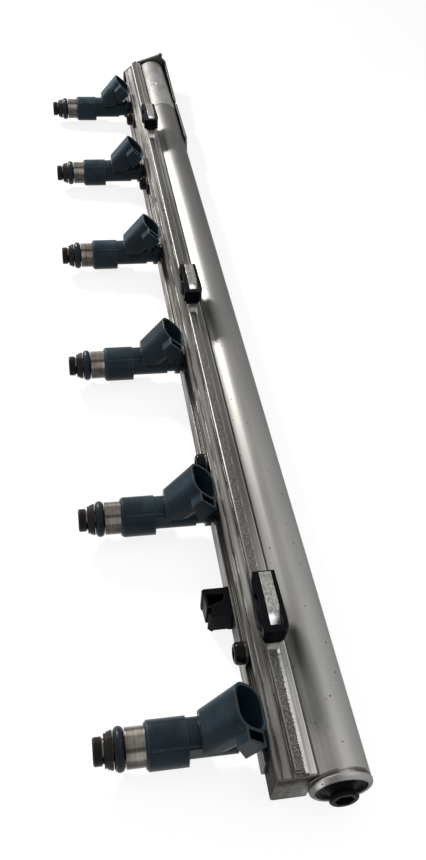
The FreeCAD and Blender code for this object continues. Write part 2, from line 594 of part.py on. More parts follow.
def injector_shell():
    """The steel band and stem: tip, seal groove, band, stem and flared inlet, with the inlet bore."""
    bore_end = STEM_END
    neck = NOZZLE_CAP_LENGTH
    return turned([
        (0, NOZZLE_CAP_WALL),
        (NOZZLE_TIP_RADIUS, NOZZLE_CAP_WALL),
        (NOZZLE_TIP_RADIUS, neck),
        (NECK_RING_RADIUS, neck),
        (NECK_RING_RADIUS, neck + NECK_RING_WIDTH),
        (LOWER_GROOVE_RADIUS, neck + NECK_RING_WIDTH),
        (LOWER_GROOVE_RADIUS, BAND_START),
        (BAND_RADIUS, BAND_START),
        (BAND_RADIUS, CAN_END),
        (STEM_RADIUS, CAN_END),
        (STEM_RADIUS, bore_end - STEM_FLARE_LENGTH),
        (STEM_FLARE_RADIUS, bore_end - STEM_FLARE_LENGTH),
        (STEM_FLARE_RADIUS, bore_end),
        (STEM_BORE_RADIUS, bore_end),
        (STEM_BORE_RADIUS, STEM_BORE_START),
        (0, STEM_BORE_START),
    ])


def injector_nozzle_cap():
    """The button on the tip, open behind for the steel tip and pierced for the spray."""
    inside = NOZZLE_TIP_RADIUS + FIT_GAP
    return turned([
        (NOZZLE_HOLE_RADIUS, 0.5),
        (NOZZLE_HOLE_RADIUS + 0.8, 0),
        (NOZZLE_CAP_RADIUS - 0.5, 0),
        (NOZZLE_CAP_RADIUS, 0.5),
        (NOZZLE_CAP_RADIUS, NOZZLE_CAP_LENGTH - FIT_GAP),
        (inside, NOZZLE_CAP_LENGTH - FIT_GAP),
        (inside, NOZZLE_CAP_WALL - FIT_GAP),
        (NOZZLE_HOLE_RADIUS, NOZZLE_CAP_WALL - FIT_GAP),
    ])


def injector_washers():
    """The stack of spacer rings between the neck ring and the seal, drawn as one stepped sleeve."""
    inside = LOWER_GROOVE_RADIUS + FIT_GAP
    start = NOZZLE_CAP_LENGTH + NECK_RING_WIDTH + FIT_GAP
    profile = [(inside, start)]
    for step, radius in enumerate(WASHER_RADII):
        profile.append((radius, start + step * WASHER_WIDTH))
        profile.append((radius, start + (step + 1) * WASHER_WIDTH))
    profile.append((inside, start + len(WASHER_RADII) * WASHER_WIDTH))
    return turned(profile)


def lower_seal_place():
    """The nozzle seal lies between the spacer rings and the steel band."""
    washers_end = NOZZLE_CAP_LENGTH + NECK_RING_WIDTH + len(WASHER_RADII) * WASHER_WIDTH
    return (washers_end + BAND_START) / 2


def injector_lower_seal():
    """The seal ring at the nozzle."""
    return ring_round_y(LOWER_SEAL_OUTER_RADIUS, SEAL_SECTION_RADIUS, lower_seal_place())


def injector_upper_seal():
    """The seal ring squeezed between the stem and the wall of the cup."""
    section = (CUP_RADIUS - STEM_RADIUS) / 2 - FIT_GAP
    return ring_round_y(CUP_RADIUS - FIT_GAP, section, CUP_MOUTH + UPPER_SEAL_FROM_MOUTH)


def injector_filter():
    """The inlet filter basket: a collar and a tapered basket in the stem's bore."""
    outside = STEM_BORE_RADIUS - FIT_GAP
    collar = STEM_END - FILTER_COLLAR_WIDTH
    return turned([
        (0, STEM_END - FILTER_LENGTH),
        (FILTER_TIP_RADIUS, STEM_END - FILTER_LENGTH),
        (outside - 0.4, collar),
        (outside, collar),
        (outside, STEM_END),
        (outside - 0.6, STEM_END),
        (outside - 0.8, collar),
        (FILTER_TIP_RADIUS - 0.4, STEM_END - FILTER_LENGTH + 0.6),
        (0, STEM_END - FILTER_LENGTH + 0.6),
    ])


def on_connector(shape):
    """A piece drawn along +Y from the connector's root, turned up to the connector's angle."""
    turned_up = shape.copy()
    turned_up.rotate(Vector(0, 0, 0), Vector(1, 0, 0), CONNECTOR_ANGLE)
    return turned_up.translated(Vector(0, CONNECTOR_ROOT, 0))


def tapered_shroud(d0, d1, inset):
    """The connector's shroud, or the space inside its wall: four cone corners round a cross of flats."""
    middle_x = CONNECTOR_HALF_WIDTH - CONNECTOR_CORNER
    middle_z = CONNECTOR_HALF_HEIGHT - CONNECTOR_CORNER
    radii = [CONNECTOR_CORNER - (CONNECTOR_REACH - along) * CONNECTOR_DRAFT - inset for along in (d0, d1)]
    rings = []
    for along, radius in zip((d0, d1), radii):
        wide = middle_x + radius
        high = middle_z + radius
        cross = [(wide, middle_z), (middle_x, middle_z), (middle_x, high), (-middle_x, high), (-middle_x, middle_z),
                 (-wide, middle_z), (-wide, -middle_z), (-middle_x, -middle_z), (-middle_x, -high),
                 (middle_x, -high), (middle_x, -middle_z), (wide, -middle_z)]
        points = [Vector(x, along, z) for x, z in cross]
        rings.append(Part.makePolygon(points + [points[0]]))
    flats = Part.makeLoft(rings, True, True)
    corners = []
    for quarter, (side_x, side_z) in enumerate(((1, -1), (-1, -1), (-1, 1), (1, 1))):
        corner = Part.makeCone(radii[0], radii[1], d1 - d0, Vector(0, 0, 0), Vector(0, 0, 1), 90)
        corner.rotate(Vector(0, 0, 0), Vector(1, 0, 0), -90)
        corner.rotate(Vector(0, 0, 0), Vector(0, 1, 0), 90 * quarter)
        corners.append(corner.translated(Vector(side_x * middle_x, d0, side_z * middle_z)))
    return flats.fuse(corners).removeSplitter()


def latch_housing():
    """The block beside the connector, slanted at its back, that the plug's latch drops into."""
    outer = CONNECTOR_HALF_WIDTH + LATCH_DEPTH
    side = [(CONNECTOR_REACH - LATCH_TOP_LENGTH, LATCH_HIGH), (CONNECTOR_REACH, LATCH_HIGH),
            (CONNECTOR_REACH, LATCH_LOW), (CONNECTOR_REACH - LATCH_BOTTOM_LENGTH, LATCH_LOW)]
    points = [Vector(0, along, across) for along, across in side]
    points.append(points[0])
    return Part.Face(Part.makePolygon(points)).extrude(Vector(outer, 0, 0))


def injector_body():
    """The plastic overmould: collar with its two ledges, barrel, throat, rim, shoulder and the connector."""
    solid = turned([
        (0, COLLAR_START),
        (COLLAR_RADIUS - COLLAR_CHAMFER, COLLAR_START),
        (COLLAR_RADIUS, COLLAR_START + COLLAR_CHAMFER),
        (COLLAR_RADIUS, COLLAR_END),
        (BARREL_RADIUS, COLLAR_END),
        (BARREL_RADIUS, BARREL_END),
        (THROAT_RADIUS, BARREL_END),
        (THROAT_RADIUS, RIM_START),
        (RIM_RADIUS, RIM_START),
        (RIM_RADIUS, RIM_START + RIM_WIDTH),
        (THROAT_RADIUS, RIM_START + RIM_WIDTH),
        (THROAT_RADIUS, CUP_MOUTH + SHOULDER_FROM_MOUTH),
        (SHOULDER_RADIUS, CUP_MOUTH + SHOULDER_FROM_MOUTH),
        (SHOULDER_RADIUS, CUP_MOUTH + SHOULDER_FROM_MOUTH + SHOULDER_WIDTH),
        (0, CUP_MOUTH + SHOULDER_FROM_MOUTH + SHOULDER_WIDTH),
    ])
    ribs = []
    for angle in (RIB_ANGLE, RIB_ANGLE + 180):
        rib = box(0, COLLAR_RADIUS + RIB_HEIGHT, COLLAR_START + RIB_MARGIN, CONNECTOR_FACE + RIB_MARGIN,
                  -RIB_WIDTH / 2, RIB_WIDTH / 2)
        rib.rotate(Vector(0, 0, 0), Vector(0, 1, 0), -angle)
        ribs.append(rib)
    bridge = rod(BRIDGE_RADIUS, (0, COLLAR_END - 1, 0), (0, 1, 0), CONNECTOR_FACE + BRIDGE_LAP - COLLAR_END)
    bridge = bridge.common(box(-BARREL_RADIUS, BARREL_RADIUS, COLLAR_START, BARREL_END, 0, BRIDGE_RADIUS))
    shroud = tapered_shroud(-CONNECTOR_HALF_WIDTH, CONNECTOR_REACH, 0)
    shroud = on_connector(shroud.fuse(latch_housing()))
    reach = 4 * CONNECTOR_REACH
    keep = box(-CONNECTOR_REACH, CONNECTOR_REACH, CONNECTOR_FACE, reach, CONNECTOR_FLOOR, reach)
    shroud = shroud.common(keep)
    body = solid.fuse(ribs + [bridge, shroud])

    cavity = on_connector(tapered_shroud(CONNECTOR_REACH - CONNECTOR_POCKET_DEPTH, CONNECTOR_REACH + 1, CONNECTOR_WALL))
    pocket_outer = CONNECTOR_HALF_WIDTH + LATCH_DEPTH - LATCH_WALL
    pocket = on_connector(box(CONNECTOR_HALF_WIDTH, pocket_outer, CONNECTOR_REACH - LATCH_POCKET_LENGTH,
                              CONNECTOR_REACH + 1, LATCH_LOW + LATCH_WALL, LATCH_HIGH - LATCH_WALL))
    can_room = rod(BAND_RADIUS + FIT_GAP, (0, COLLAR_START - 1, 0), (0, 1, 0), CAN_END + FIT_GAP - COLLAR_START + 1)
    stem_room = rod(STEM_RADIUS + FIT_GAP, (0, COLLAR_START, 0), (0, 1, 0), STEM_END - COLLAR_START)
    blades = [terminal_blade(side).copy() for side in (-1, 1)]
    return body.cut([cavity, pocket, can_room, stem_room] + blades)


def terminal_blade(side):
    """One contact blade, rooted in the floor of the connector's cavity."""
    floor = CONNECTOR_REACH - CONNECTOR_POCKET_DEPTH
    middle = side * TERMINAL_SPACING / 2
    blade = box(middle - TERMINAL_WIDTH / 2, middle + TERMINAL_WIDTH / 2, floor - TERMINAL_ROOT,
                floor - TERMINAL_ROOT + TERMINAL_LENGTH, -TERMINAL_THICKNESS / 2, TERMINAL_THICKNESS / 2)
    return on_connector(blade)


def injector_terminals():
    """Both contact blades of one connector."""
    return Part.makeCompound([terminal_blade(side) for side in (-1, 1)])


def cover_clip(index):
    """The black clip on one tongue: a sleeve with a thick near end and, on the injector side, a slotted ear."""
    far, near = tongue_span(index)
    front = RIDGE_FRONT - CLIP_FRONT_WALL
    back = RIDGE_BACK + CLIP_BACK_WALL
    end = near + CLIP_END_WALL
    flared = front - CLIP_FRONT_FLARE
    bulged = back + CLIP_BACK_BULGE
    start = far - CLIP_FAR_WALL
    sleeve = prism_along_z(
        [(start, front), (end, flared), (end, back - CLIP_END_CORNER), (end - CLIP_END_CORNER, back),
         (near, bulged), (near - CLIP_EAR_START, bulged), (start, back)], CLIP_BOTTOM_Z, CLIP_TOP_Z)
    ear_near = near - CLIP_EAR_END
    ear_front = flared - CLIP_EAR_REACH
    corners = [(start, front + 1), (start, front), (start + CLIP_EAR_START, front - CLIP_EAR_REACH),
               (ear_near, ear_front), (near, ear_front + CLIP_EAR_REACH), (near, front + 1)]
    corners = [Vector(x, y, CLIP_EAR_BOTTOM_Z) for x, y in corners]
    far_bend = (corners[1] + corners[2]) / 2 + Vector(-0.1, -0.15, 0) * CLIP_EAR_REACH
    near_bend = (corners[3] + corners[4]) / 2 + Vector(0.15, -0.1, 0) * CLIP_EAR_REACH
    outline = [
        Part.makeLine(corners[0], corners[1]),
        Part.Arc(corners[1], far_bend, corners[2]).toShape(),
        Part.makeLine(corners[2], corners[3]),
        Part.Arc(corners[3], near_bend, corners[4]).toShape(),
        Part.makeLine(corners[4], corners[5]),
        Part.makeLine(corners[5], corners[0]),
    ]
    ear = Part.Face(Part.Wire(outline)).extrude(Vector(0, 0, CLIP_TOP_Z - CLIP_EAR_BOTTOM_Z))
    slot_near = near - CLIP_SLOT_FROM_NEAR
    slot_far = slot_near - CLIP_SLOT_LENGTH
    slot_y = front - CLIP_SLOT_WIDTH / 2 - 0.3
    slot_ends = [rod(CLIP_SLOT_WIDTH / 2, (x, slot_y, CLIP_BOTTOM_Z - 1), (0, 0, 1), CLIP_TOP_Z - CLIP_BOTTOM_Z + 2)
                 for x in (slot_far, slot_near)]
    slot = box(slot_far, slot_near, slot_y - CLIP_SLOT_WIDTH / 2, slot_y + CLIP_SLOT_WIDTH / 2,
               CLIP_BOTTOM_Z - 1, CLIP_TOP_Z + 1)
    blade_room = box(far - SEAT_GAP, near + SEAT_GAP, RIDGE_FRONT - FIT_GAP, RIDGE_BACK + FIT_GAP,
                     CLIP_BOTTOM_Z - 1, CLIP_TOP_Z + 1)
    shoulder_z = CLIP_TOP_Z - CLIP_FACE_HEIGHT
    tapers = [
        prism_along_x([(flared - 1, shoulder_z), (flared + CLIP_FOOT_TAPER, CLIP_BOTTOM_Z - 1),
                       (flared - 1, CLIP_BOTTOM_Z - 1)], near + SEAT_GAP, end + 1),
        prism_along_x([(bulged + 1, shoulder_z), (back - CLIP_FOOT_TAPER - 1, CLIP_BOTTOM_Z - 1),
                       (bulged + 1, CLIP_BOTTOM_Z - 1)], near + SEAT_GAP, end + 1),
    ]
    return sleeve.fuse(ear).cut([slot, blade_room] + slot_ends + tapers).removeSplitter()


def snap_plan(points):
    """An outline of the snap fastener, given along the rail and out from the strip."""
    seat = BLOCK_FRONT - STRIP_THICKNESS
    return [(SNAP_X + along, seat - out) for along, out in points]


def snap_fastener():
    """The square snap fastener: base plate, spigot and a hooked, notched post with two pockets."""
    seat = BLOCK_FRONT - STRIP_THICKNESS
    bottom = SNAP_Z - SNAP_HEIGHT / 2
    top = SNAP_Z + SNAP_HEIGHT / 2
    half_base = SNAP_OUTLINE[-1][0] + SNAP_BASE_MARGIN
    base = box(SNAP_X - half_base, SNAP_X + half_base, seat - SNAP_BASE_THICKNESS, seat, bottom, top)
    post = prism_along_z(snap_plan(SNAP_OUTLINE), bottom, top)
    spigot = rod(SNAP_SPIGOT_RADIUS, (SNAP_X, seat - 0.5, SNAP_Z), (0, 1, 0), SNAP_SPIGOT_LENGTH + 0.5)
    from_above = prism_along_z(snap_plan(SNAP_TOP_POCKET), bottom + SNAP_WALL, top + 1)
    from_below = prism_along_z(snap_plan(SNAP_BOTTOM_POCKET), bottom - 1, top - SNAP_WALL)
    notch = prism_along_z(snap_plan(SNAP_NOTCH), bottom - 1, top + 1)
    return base.fuse([post, spigot]).cut([from_above, from_below, notch]).removeSplitter()


def pieces():
    """Every piece by its node name."""
    made = {
        "rail_extrusion": rail_extrusion(),
        "tube_end_cap": tube_end_cap(),
        "far_end_bracket": far_end_bracket(),
        "near_end_plug": near_end_plug(),
        "near_plug_seal": near_plug_seal(),
        "retainer_strip": retainer_strip(),
        "retainer_screws": Part.makeCompound([retainer_screw(x) for x in SCREW_PLACES]),
        "snap_fastener": snap_fastener(),
    }
    for index in range(3):
        made[f"cover_clip_{index + 1}"] = cover_clip(index)
    injector_pieces = {
        "body": injector_body(),
        "shell": injector_shell(),
        "nozzle_cap": injector_nozzle_cap(),
        "washers": injector_washers(),
        "lower_seal": injector_lower_seal(),
        "upper_seal": injector_upper_seal(),
        "terminals": injector_terminals(),
        "filter": injector_filter(),
    }
    for index in range(INJECTOR_COUNT):
        for name, shape in injector_pieces.items():
            made[f"injector_{index + 1}_{name}"] = at_injector(shape, index)
    return made


os.makedirs("parts", exist_ok=True)
for node, shape in pieces().items():
    shape.exportStep(f"parts/{node}.step")
    print(f"{node}: {len(shape.Solids)} solid(s), {shape.Volume:.0f} mm3, valid {shape.isValid()}")
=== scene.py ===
# %% [markdown]
# # A fuel rail with its six injectors, dressed for the camera
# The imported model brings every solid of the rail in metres, in one shared frame: X along the rail, Y from
# the nozzles towards the fuel tube, Z up. It could be rebuilt in Blender, but then each size would live
# twice. So the solids stay as they are, and this lesson adds a camera, light, finishes and small repeats.

# %% Load the frame
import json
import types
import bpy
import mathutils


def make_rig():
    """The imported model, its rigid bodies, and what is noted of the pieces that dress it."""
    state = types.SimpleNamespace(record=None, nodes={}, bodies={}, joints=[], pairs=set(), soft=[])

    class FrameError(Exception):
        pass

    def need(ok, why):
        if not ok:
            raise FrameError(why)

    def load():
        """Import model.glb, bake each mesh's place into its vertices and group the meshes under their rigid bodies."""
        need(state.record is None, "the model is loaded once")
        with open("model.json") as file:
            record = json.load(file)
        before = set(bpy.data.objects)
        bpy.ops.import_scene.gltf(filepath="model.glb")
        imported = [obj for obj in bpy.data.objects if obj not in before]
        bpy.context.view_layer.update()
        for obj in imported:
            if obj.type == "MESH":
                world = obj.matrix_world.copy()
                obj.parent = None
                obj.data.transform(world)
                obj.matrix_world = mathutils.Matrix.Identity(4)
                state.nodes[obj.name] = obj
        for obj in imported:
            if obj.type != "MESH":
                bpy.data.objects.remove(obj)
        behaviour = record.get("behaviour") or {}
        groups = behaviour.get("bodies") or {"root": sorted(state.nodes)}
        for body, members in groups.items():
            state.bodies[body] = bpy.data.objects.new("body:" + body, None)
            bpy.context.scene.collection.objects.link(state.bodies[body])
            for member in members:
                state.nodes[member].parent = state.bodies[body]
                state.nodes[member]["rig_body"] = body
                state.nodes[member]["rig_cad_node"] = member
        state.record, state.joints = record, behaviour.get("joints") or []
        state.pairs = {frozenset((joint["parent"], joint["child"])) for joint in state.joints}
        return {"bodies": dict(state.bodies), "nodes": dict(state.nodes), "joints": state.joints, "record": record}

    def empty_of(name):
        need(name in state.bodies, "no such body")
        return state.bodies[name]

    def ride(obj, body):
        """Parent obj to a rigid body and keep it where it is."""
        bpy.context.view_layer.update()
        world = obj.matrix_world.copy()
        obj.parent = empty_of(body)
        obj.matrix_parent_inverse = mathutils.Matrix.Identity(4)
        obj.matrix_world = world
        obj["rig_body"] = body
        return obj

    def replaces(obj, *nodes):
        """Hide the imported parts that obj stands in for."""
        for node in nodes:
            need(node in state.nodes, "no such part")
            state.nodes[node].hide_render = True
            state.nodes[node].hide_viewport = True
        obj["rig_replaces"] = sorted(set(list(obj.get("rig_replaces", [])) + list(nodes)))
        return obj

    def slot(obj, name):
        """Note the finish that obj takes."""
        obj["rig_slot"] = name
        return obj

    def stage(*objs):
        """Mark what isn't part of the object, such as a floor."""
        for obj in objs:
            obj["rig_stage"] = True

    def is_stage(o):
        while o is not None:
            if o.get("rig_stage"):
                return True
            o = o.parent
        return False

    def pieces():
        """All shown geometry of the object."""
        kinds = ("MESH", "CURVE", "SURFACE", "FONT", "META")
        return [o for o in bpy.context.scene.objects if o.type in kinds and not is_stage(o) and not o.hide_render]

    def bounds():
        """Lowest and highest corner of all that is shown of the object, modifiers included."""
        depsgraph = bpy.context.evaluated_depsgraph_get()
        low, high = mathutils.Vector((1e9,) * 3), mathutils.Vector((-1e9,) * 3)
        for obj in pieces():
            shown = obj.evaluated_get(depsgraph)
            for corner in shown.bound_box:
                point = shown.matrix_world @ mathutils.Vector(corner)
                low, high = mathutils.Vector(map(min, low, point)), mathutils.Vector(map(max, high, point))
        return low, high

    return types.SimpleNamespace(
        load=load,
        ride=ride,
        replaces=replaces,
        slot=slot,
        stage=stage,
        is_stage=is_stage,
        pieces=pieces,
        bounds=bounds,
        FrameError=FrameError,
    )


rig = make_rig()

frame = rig.load()
cad_box = [list(corner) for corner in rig.bounds()]
print("nodes:", len(frame["nodes"]), "box:", cad_box)

# %% Modules and units
import json
import math

import bmesh
import bpy
from mathutils import Matrix, Vector

MM = 0.001
scene = bpy.context.scene
nodes = frame["nodes"]
print("bodies:", sorted(frame["bodies"]))

# %% [markdown]
# ## The camera
# The picture looks down the rail from above its near end, so the near injectors are large and the far end
# is small. That needs a camera that stands close, not a long lens from far away. Its place and two of its
# directions were worked out from the row of injectors and the straight edges of the rail, and the third
# direction follows from them. A tall picture takes its sensor size on the vertical side.

# %% Camera
CAMERA_PLACE = Vector((370.22, -60.43, 274.34)) * MM
CAMERA_RIGHT = Vector((0.15707, 0.98536, 0.06623))
CAMERA_DOWN = Vector((0.68880, -0.06124, -0.72236))
LENS = 36.0
SENSOR_HEIGHT = 36.0
camera_data = bpy.data.cameras.new("photo_camera")
camera_data.sensor_fit = "VERTICAL"
camera_data.sensor_height = SENSOR_HEIGHT
camera_data.lens = LENS
camera_data.clip_start = 0.01
camera_data.clip_end = 20.0
camera = bpy.data.objects.new("photo_camera", camera_data)
right = CAMERA_RIGHT.normalized()
up = -CAMERA_DOWN.normalized()
back = right.cross(up).normalized()
turn = Matrix((right, up, back)).transposed().to_4x4()
camera.matrix_world = Matrix.Translation(CAMERA_PLACE) @ turn
scene.collection.objects.link(camera)
scene.camera = camera
print("camera looks along", tuple(round(v, 3) for v in -back))

# %% [markdown]
# ## Node helpers
# A procedural material is a small graph. Building it by hand in the editor is pleasant, but a script has to
# be read, so one helper adds a node, sets its options and joins its inputs in a single line. The others
# name the sums and mixes that every finish needs. Dirt and wear are coats, with a share that they hide and
# a colour.

# %% Helpers for node trees
def put(tree, kind, inputs=None, **options):
    """Adds a node, sets its options, and gives each input a value or another node's socket."""
    made = tree.nodes.new(kind)
    for name, value in options.items():
        setattr(made, name, value)
    for name, value in (inputs or {}).items():
        socket = made.inputs[name]
        if isinstance(value, bpy.types.NodeSocket):
            tree.links.new(value, socket)
        else:
            socket.default_value = value
    return made


def math_node(tree, operation, first, second=0.0, clamp=False):
    """The result of a sum on two numbers or sockets."""
    return put(tree, "ShaderNodeMath", {0: first, 1: second}, operation=operation, use_clamp=clamp).outputs[0]


def times(tree, *factors):
    """The product of numbers or sockets."""
    product = factors[0]
    for factor in factors[1:]:
        product = math_node(tree, "MULTIPLY", product, factor)
    return product


def remap(tree, value, low, high, out_low=0.0, out_high=1.0):
    """A value taken from one range to another, clamped at both ends."""
    ranged = put(tree, "ShaderNodeMapRange", {"Value": value, "From Min": low, "From Max": high,
                                              "To Min": out_low, "To Max": out_high})
    return ranged.outputs["Result"]


print("number helpers ready")

# %% Helpers for colours
def rgb(red, green, blue):
    """A colour as a node's socket takes it."""
    return (red, green, blue, 1.0)


def mix_number(tree, factor, first, second):
    """Two numbers mixed by a factor."""
    return put(tree, "ShaderNodeMix", {0: factor, 2: first, 3: second}).outputs[0]


def mix_colour(tree, factor, first, second):
    """Two colours mixed by a factor."""
    mixed = put(tree, "ShaderNodeMix", {0: factor, 6: first, 7: second}, data_type="RGBA")
    return mixed.outputs[2]


def toned(tree, colour, factor):
    """A colour made darker or lighter by a factor."""
    return put(tree, "ShaderNodeVectorMath", {0: colour, "Scale": factor}, operation="SCALE").outputs[0]


def coated(tree, colour, mask, share, coat):
    """A colour under a coat that hides a share of it where the mask is 1."""
    return mix_colour(tree, times(tree, mask, share), colour, coat)


print("colour helpers ready")

# %% [markdown]
# ## Reading places on a piece
# Every piece sits at the origin with its place in its mesh, so Object coordinates are true places on the
# rail. A Mapping node stretches them: a pattern squeezed across the rail and left long along it looks drawn
# or brushed. A pair of Map Range nodes picks out a band, such as one strip of the profile, and a single one
# makes a fade, whose four numbers are where it starts and ends in millimetres and its value at each end.

# %% Helpers for places
def place(tree):
    """The place on the piece, in metres."""
    return put(tree, "ShaderNodeTexCoord").outputs["Object"]


def axes(tree, spot):
    """The separate X, Y and Z of a place or a direction."""
    split = put(tree, "ShaderNodeSeparateXYZ", {0: spot})
    return split.outputs["X"], split.outputs["Y"], split.outputs["Z"]


def fade(tree, value, start, end, first=0.0, last=1.0):
    """A number that changes steadily between two places, given in millimetres."""
    return remap(tree, value, start * MM, end * MM, first, last)


def band(tree, value, low, high, soft):
    """1 between two places, in millimetres, falling to 0 over a soft edge."""
    rise = fade(tree, value, low - soft, low)
    fall = fade(tree, value, high, high + soft, 1.0, 0.0)
    return times(tree, rise, fall)


print("place helpers ready")

# %% [markdown]
# ## Patterns and edges
# Noise stays close to its middle value, so each finish stretches a part of its range: a wide window gives
# soft clouds, a narrow one clear patches. Specks come from a Voronoi pattern, which has one point in each
# cell. A Bevel node tells where an edge is, and Ambient Occlusion where a corner is, on any shape at all.

# %% Helpers for patterns
WIDE = (0.3, 0.7)
NARROW = (0.35, 0.65)


def stretched_noise(tree, spot, scale, detail=3.0, roughness=0.55, seed=0.0):
    """Noise with its own scale along X, Y and Z, in waves per metre."""
    mapped = put(tree, "ShaderNodeMapping", {"Vector": spot, "Location": (seed, seed, seed), "Scale": scale})
    noise = put(tree, "ShaderNodeTexNoise", {"Vector": mapped.outputs[0], "Scale": 1.0, "Detail": detail,
                                             "Roughness": roughness})
    return noise.outputs["Fac"]


def specks(tree, spot, per_metre, size, share, seed=0.0):
    """Small round dots, one in some of the cells of a grid: 1 inside a dot."""
    mapped = put(tree, "ShaderNodeMapping", {"Vector": spot, "Location": (seed, seed, seed),
                                             "Scale": (per_metre,) * 3})
    cells = put(tree, "ShaderNodeTexVoronoi", {"Vector": mapped.outputs[0], "Scale": 1.0, "Randomness": 1.0})
    dot = remap(tree, cells.outputs["Distance"], size * 0.6, size, 1.0, 0.0)
    pick = put(tree, "ShaderNodeSeparateColor", {0: cells.outputs["Color"]}).outputs[0]
    chosen = math_node(tree, "LESS_THAN", pick, share)
    return times(tree, dot, chosen)


print("pattern helpers ready")

# %% Helpers for edges and corners
EDGE_SAMPLES = 6
CORNER_SAMPLES = 4


def rounded_normal(tree, radius):
    """A normal that rounds crisp edges, by a radius in millimetres."""
    return put(tree, "ShaderNodeBevel", {"Radius": radius * MM}, samples=EDGE_SAMPLES).outputs[0]


def edge_wear(tree, rounded, width=0.12):
    """1 along crisp edges, where the rounded normal leaves the true one."""
    true_normal = put(tree, "ShaderNodeNewGeometry").outputs["Normal"]
    alike = put(tree, "ShaderNodeVectorMath", {0: rounded, 1: true_normal}, operation="DOT_PRODUCT")
    return remap(tree, alike.outputs["Value"], 1.0 - width, 0.995, 1.0, 0.0)


def hollows(tree, reach):
    """1 in a corner that other faces hem in within a few millimetres, 0 in the open."""
    openness = put(tree, "ShaderNodeAmbientOcclusion", {"Distance": reach * MM}, samples=CORNER_SAMPLES)
    return remap(tree, openness.outputs["AO"], 0.35, 0.95, 1.0, 0.0)


print("edge helpers ready")

# %% Helpers for a material
def empty_material(name):
    """A material with an empty node tree."""
    material = bpy.data.materials.new(name)
    material.use_nodes = True
    material.node_tree.nodes.clear()
    return material, material.node_tree


def new_finish(name):
    """A material with only its output and shader."""
    material, tree = empty_material(name)
    shader = tree.nodes.new("ShaderNodeBsdfPrincipled")
    put(tree, "ShaderNodeOutputMaterial", {"Surface": shader.outputs[0]})
    return material, tree, shader


def surface(tree, shader, colour, rough, metal=0.0, shine=0.5):
    """Gives the shader its colour and roughness, and says how metallic and how shiny it is."""
    tree.links.new(colour, shader.inputs["Base Color"])
    tree.links.new(rough, shader.inputs["Roughness"])
    shader.inputs["Metallic"].default_value = metal
    shader.inputs["Specular IOR Level"].default_value = shine


def bump(tree, shader, height, depth, normal):
    """A height of so many millimetres, laid over a normal and given to the shader."""
    raised = put(tree, "ShaderNodeBump", {"Height": height, "Distance": depth * MM, "Normal": normal})
    tree.links.new(raised.outputs[0], shader.inputs["Normal"])


print("material helpers ready")

# %% [markdown]
# ## Bare aluminium
# The profile is extruded, so it carries fine lines along its length. The block strips are scuffed and hold
# brown dirt in their grooves, the ridge was milled and is rough, and the tube is smooth with a few pits.
# It is one solid and so one material: bands across the profile choose how rough or dark each strip is, and
# fades along it follow the wear and paint light and shade from end to end. Its places, in millimetres, and
# the grains of its noise, in waves per metre, come first.

# %% Places and grains on the profile
BLOCK_FRONT_Y = -6.0
STRIP_LINES = (-4.15, -0.8)
RIDGE_BAND = (-0.5, 3.75)
RIDGE_TOP = 21.2
TUBE_FROM_Y = 6.6
BLOCK_TOP_FROM_Z = 17.6
NEAR_FACE_X = 261.95
DRAWN_GRAIN = (9, 900, 900)
CLOUD_GRAIN = (14, 60, 60)
GRIT_GRAIN = (1500, 1900, 1900)
print("the ridge is", RIDGE_BAND[1] - RIDGE_BAND[0], "mm wide")

# %% [markdown]
# ### The strips of the block
# The two front strips are a little darker than the rest. The shelf behind the ridge has a painted shadow
# along most of the rail and is lighter near the camera, far off everything is painted paler, a painted light,
# and the faces below the top have a little painted shade. Each of these changes one tone, a number that the
# colour is multiplied by, which saves a stack of colour mixes.

# %% Block colour
BLOCK_DARK = rgb(0.17, 0.165, 0.155)
BLOCK_PALE = rgb(0.31, 0.305, 0.29)
FRONT_STRIP_DARKER = 0.3
SECOND_STRIP_DARKER = 0.2
# Painted shadow on the shelf, painted light far off, and painted shade on the faces below the top.
SHELF_PAINTED_SHADOW = (120, 220, -0.55, 0.2)
FAR_END_PAINTED_LIGHT = (-260, -50, 2.4, 1.0)
BELOW_TOP_PAINTED_SHADE = (16.0, 17.5, 0.9, 1.0)


def block_colour(tree, spot, drawn, cloudy):
    """Drawn lines in two greys, toned strip by strip, with painted shadow, painted light and painted shade."""
    x, y, z = axes(tree, spot)
    front = band(tree, y, BLOCK_FRONT_Y - 0.4, STRIP_LINES[0], 0.15)
    second = band(tree, y, STRIP_LINES[0] + 0.15, STRIP_LINES[1] + 0.3, 0.15)
    shelf = band(tree, y, RIDGE_BAND[1], TUBE_FROM_Y - 0.4, 0.1)
    tone = math_node(tree, "SUBTRACT", 1.0, times(tree, front, FRONT_STRIP_DARKER))
    tone = math_node(tree, "SUBTRACT", tone, times(tree, second, SECOND_STRIP_DARKER))
    # Painted shadow on the shelf, painted light far off and painted shade below the top of the block.
    tone = math_node(tree, "ADD", tone, times(tree, shelf, fade(tree, x, *SHELF_PAINTED_SHADOW)))
    tone = times(tree, tone, fade(tree, x, *FAR_END_PAINTED_LIGHT), remap(tree, cloudy, *NARROW, 0.65, 1.35))
    tone = times(tree, tone, fade(tree, z, *BELOW_TOP_PAINTED_SHADE))
    return toned(tree, mix_colour(tree, remap(tree, drawn, *NARROW), BLOCK_DARK, BLOCK_PALE), tone)


print("the block is", FAR_END_PAINTED_LIGHT[2], "times as light at its far end")
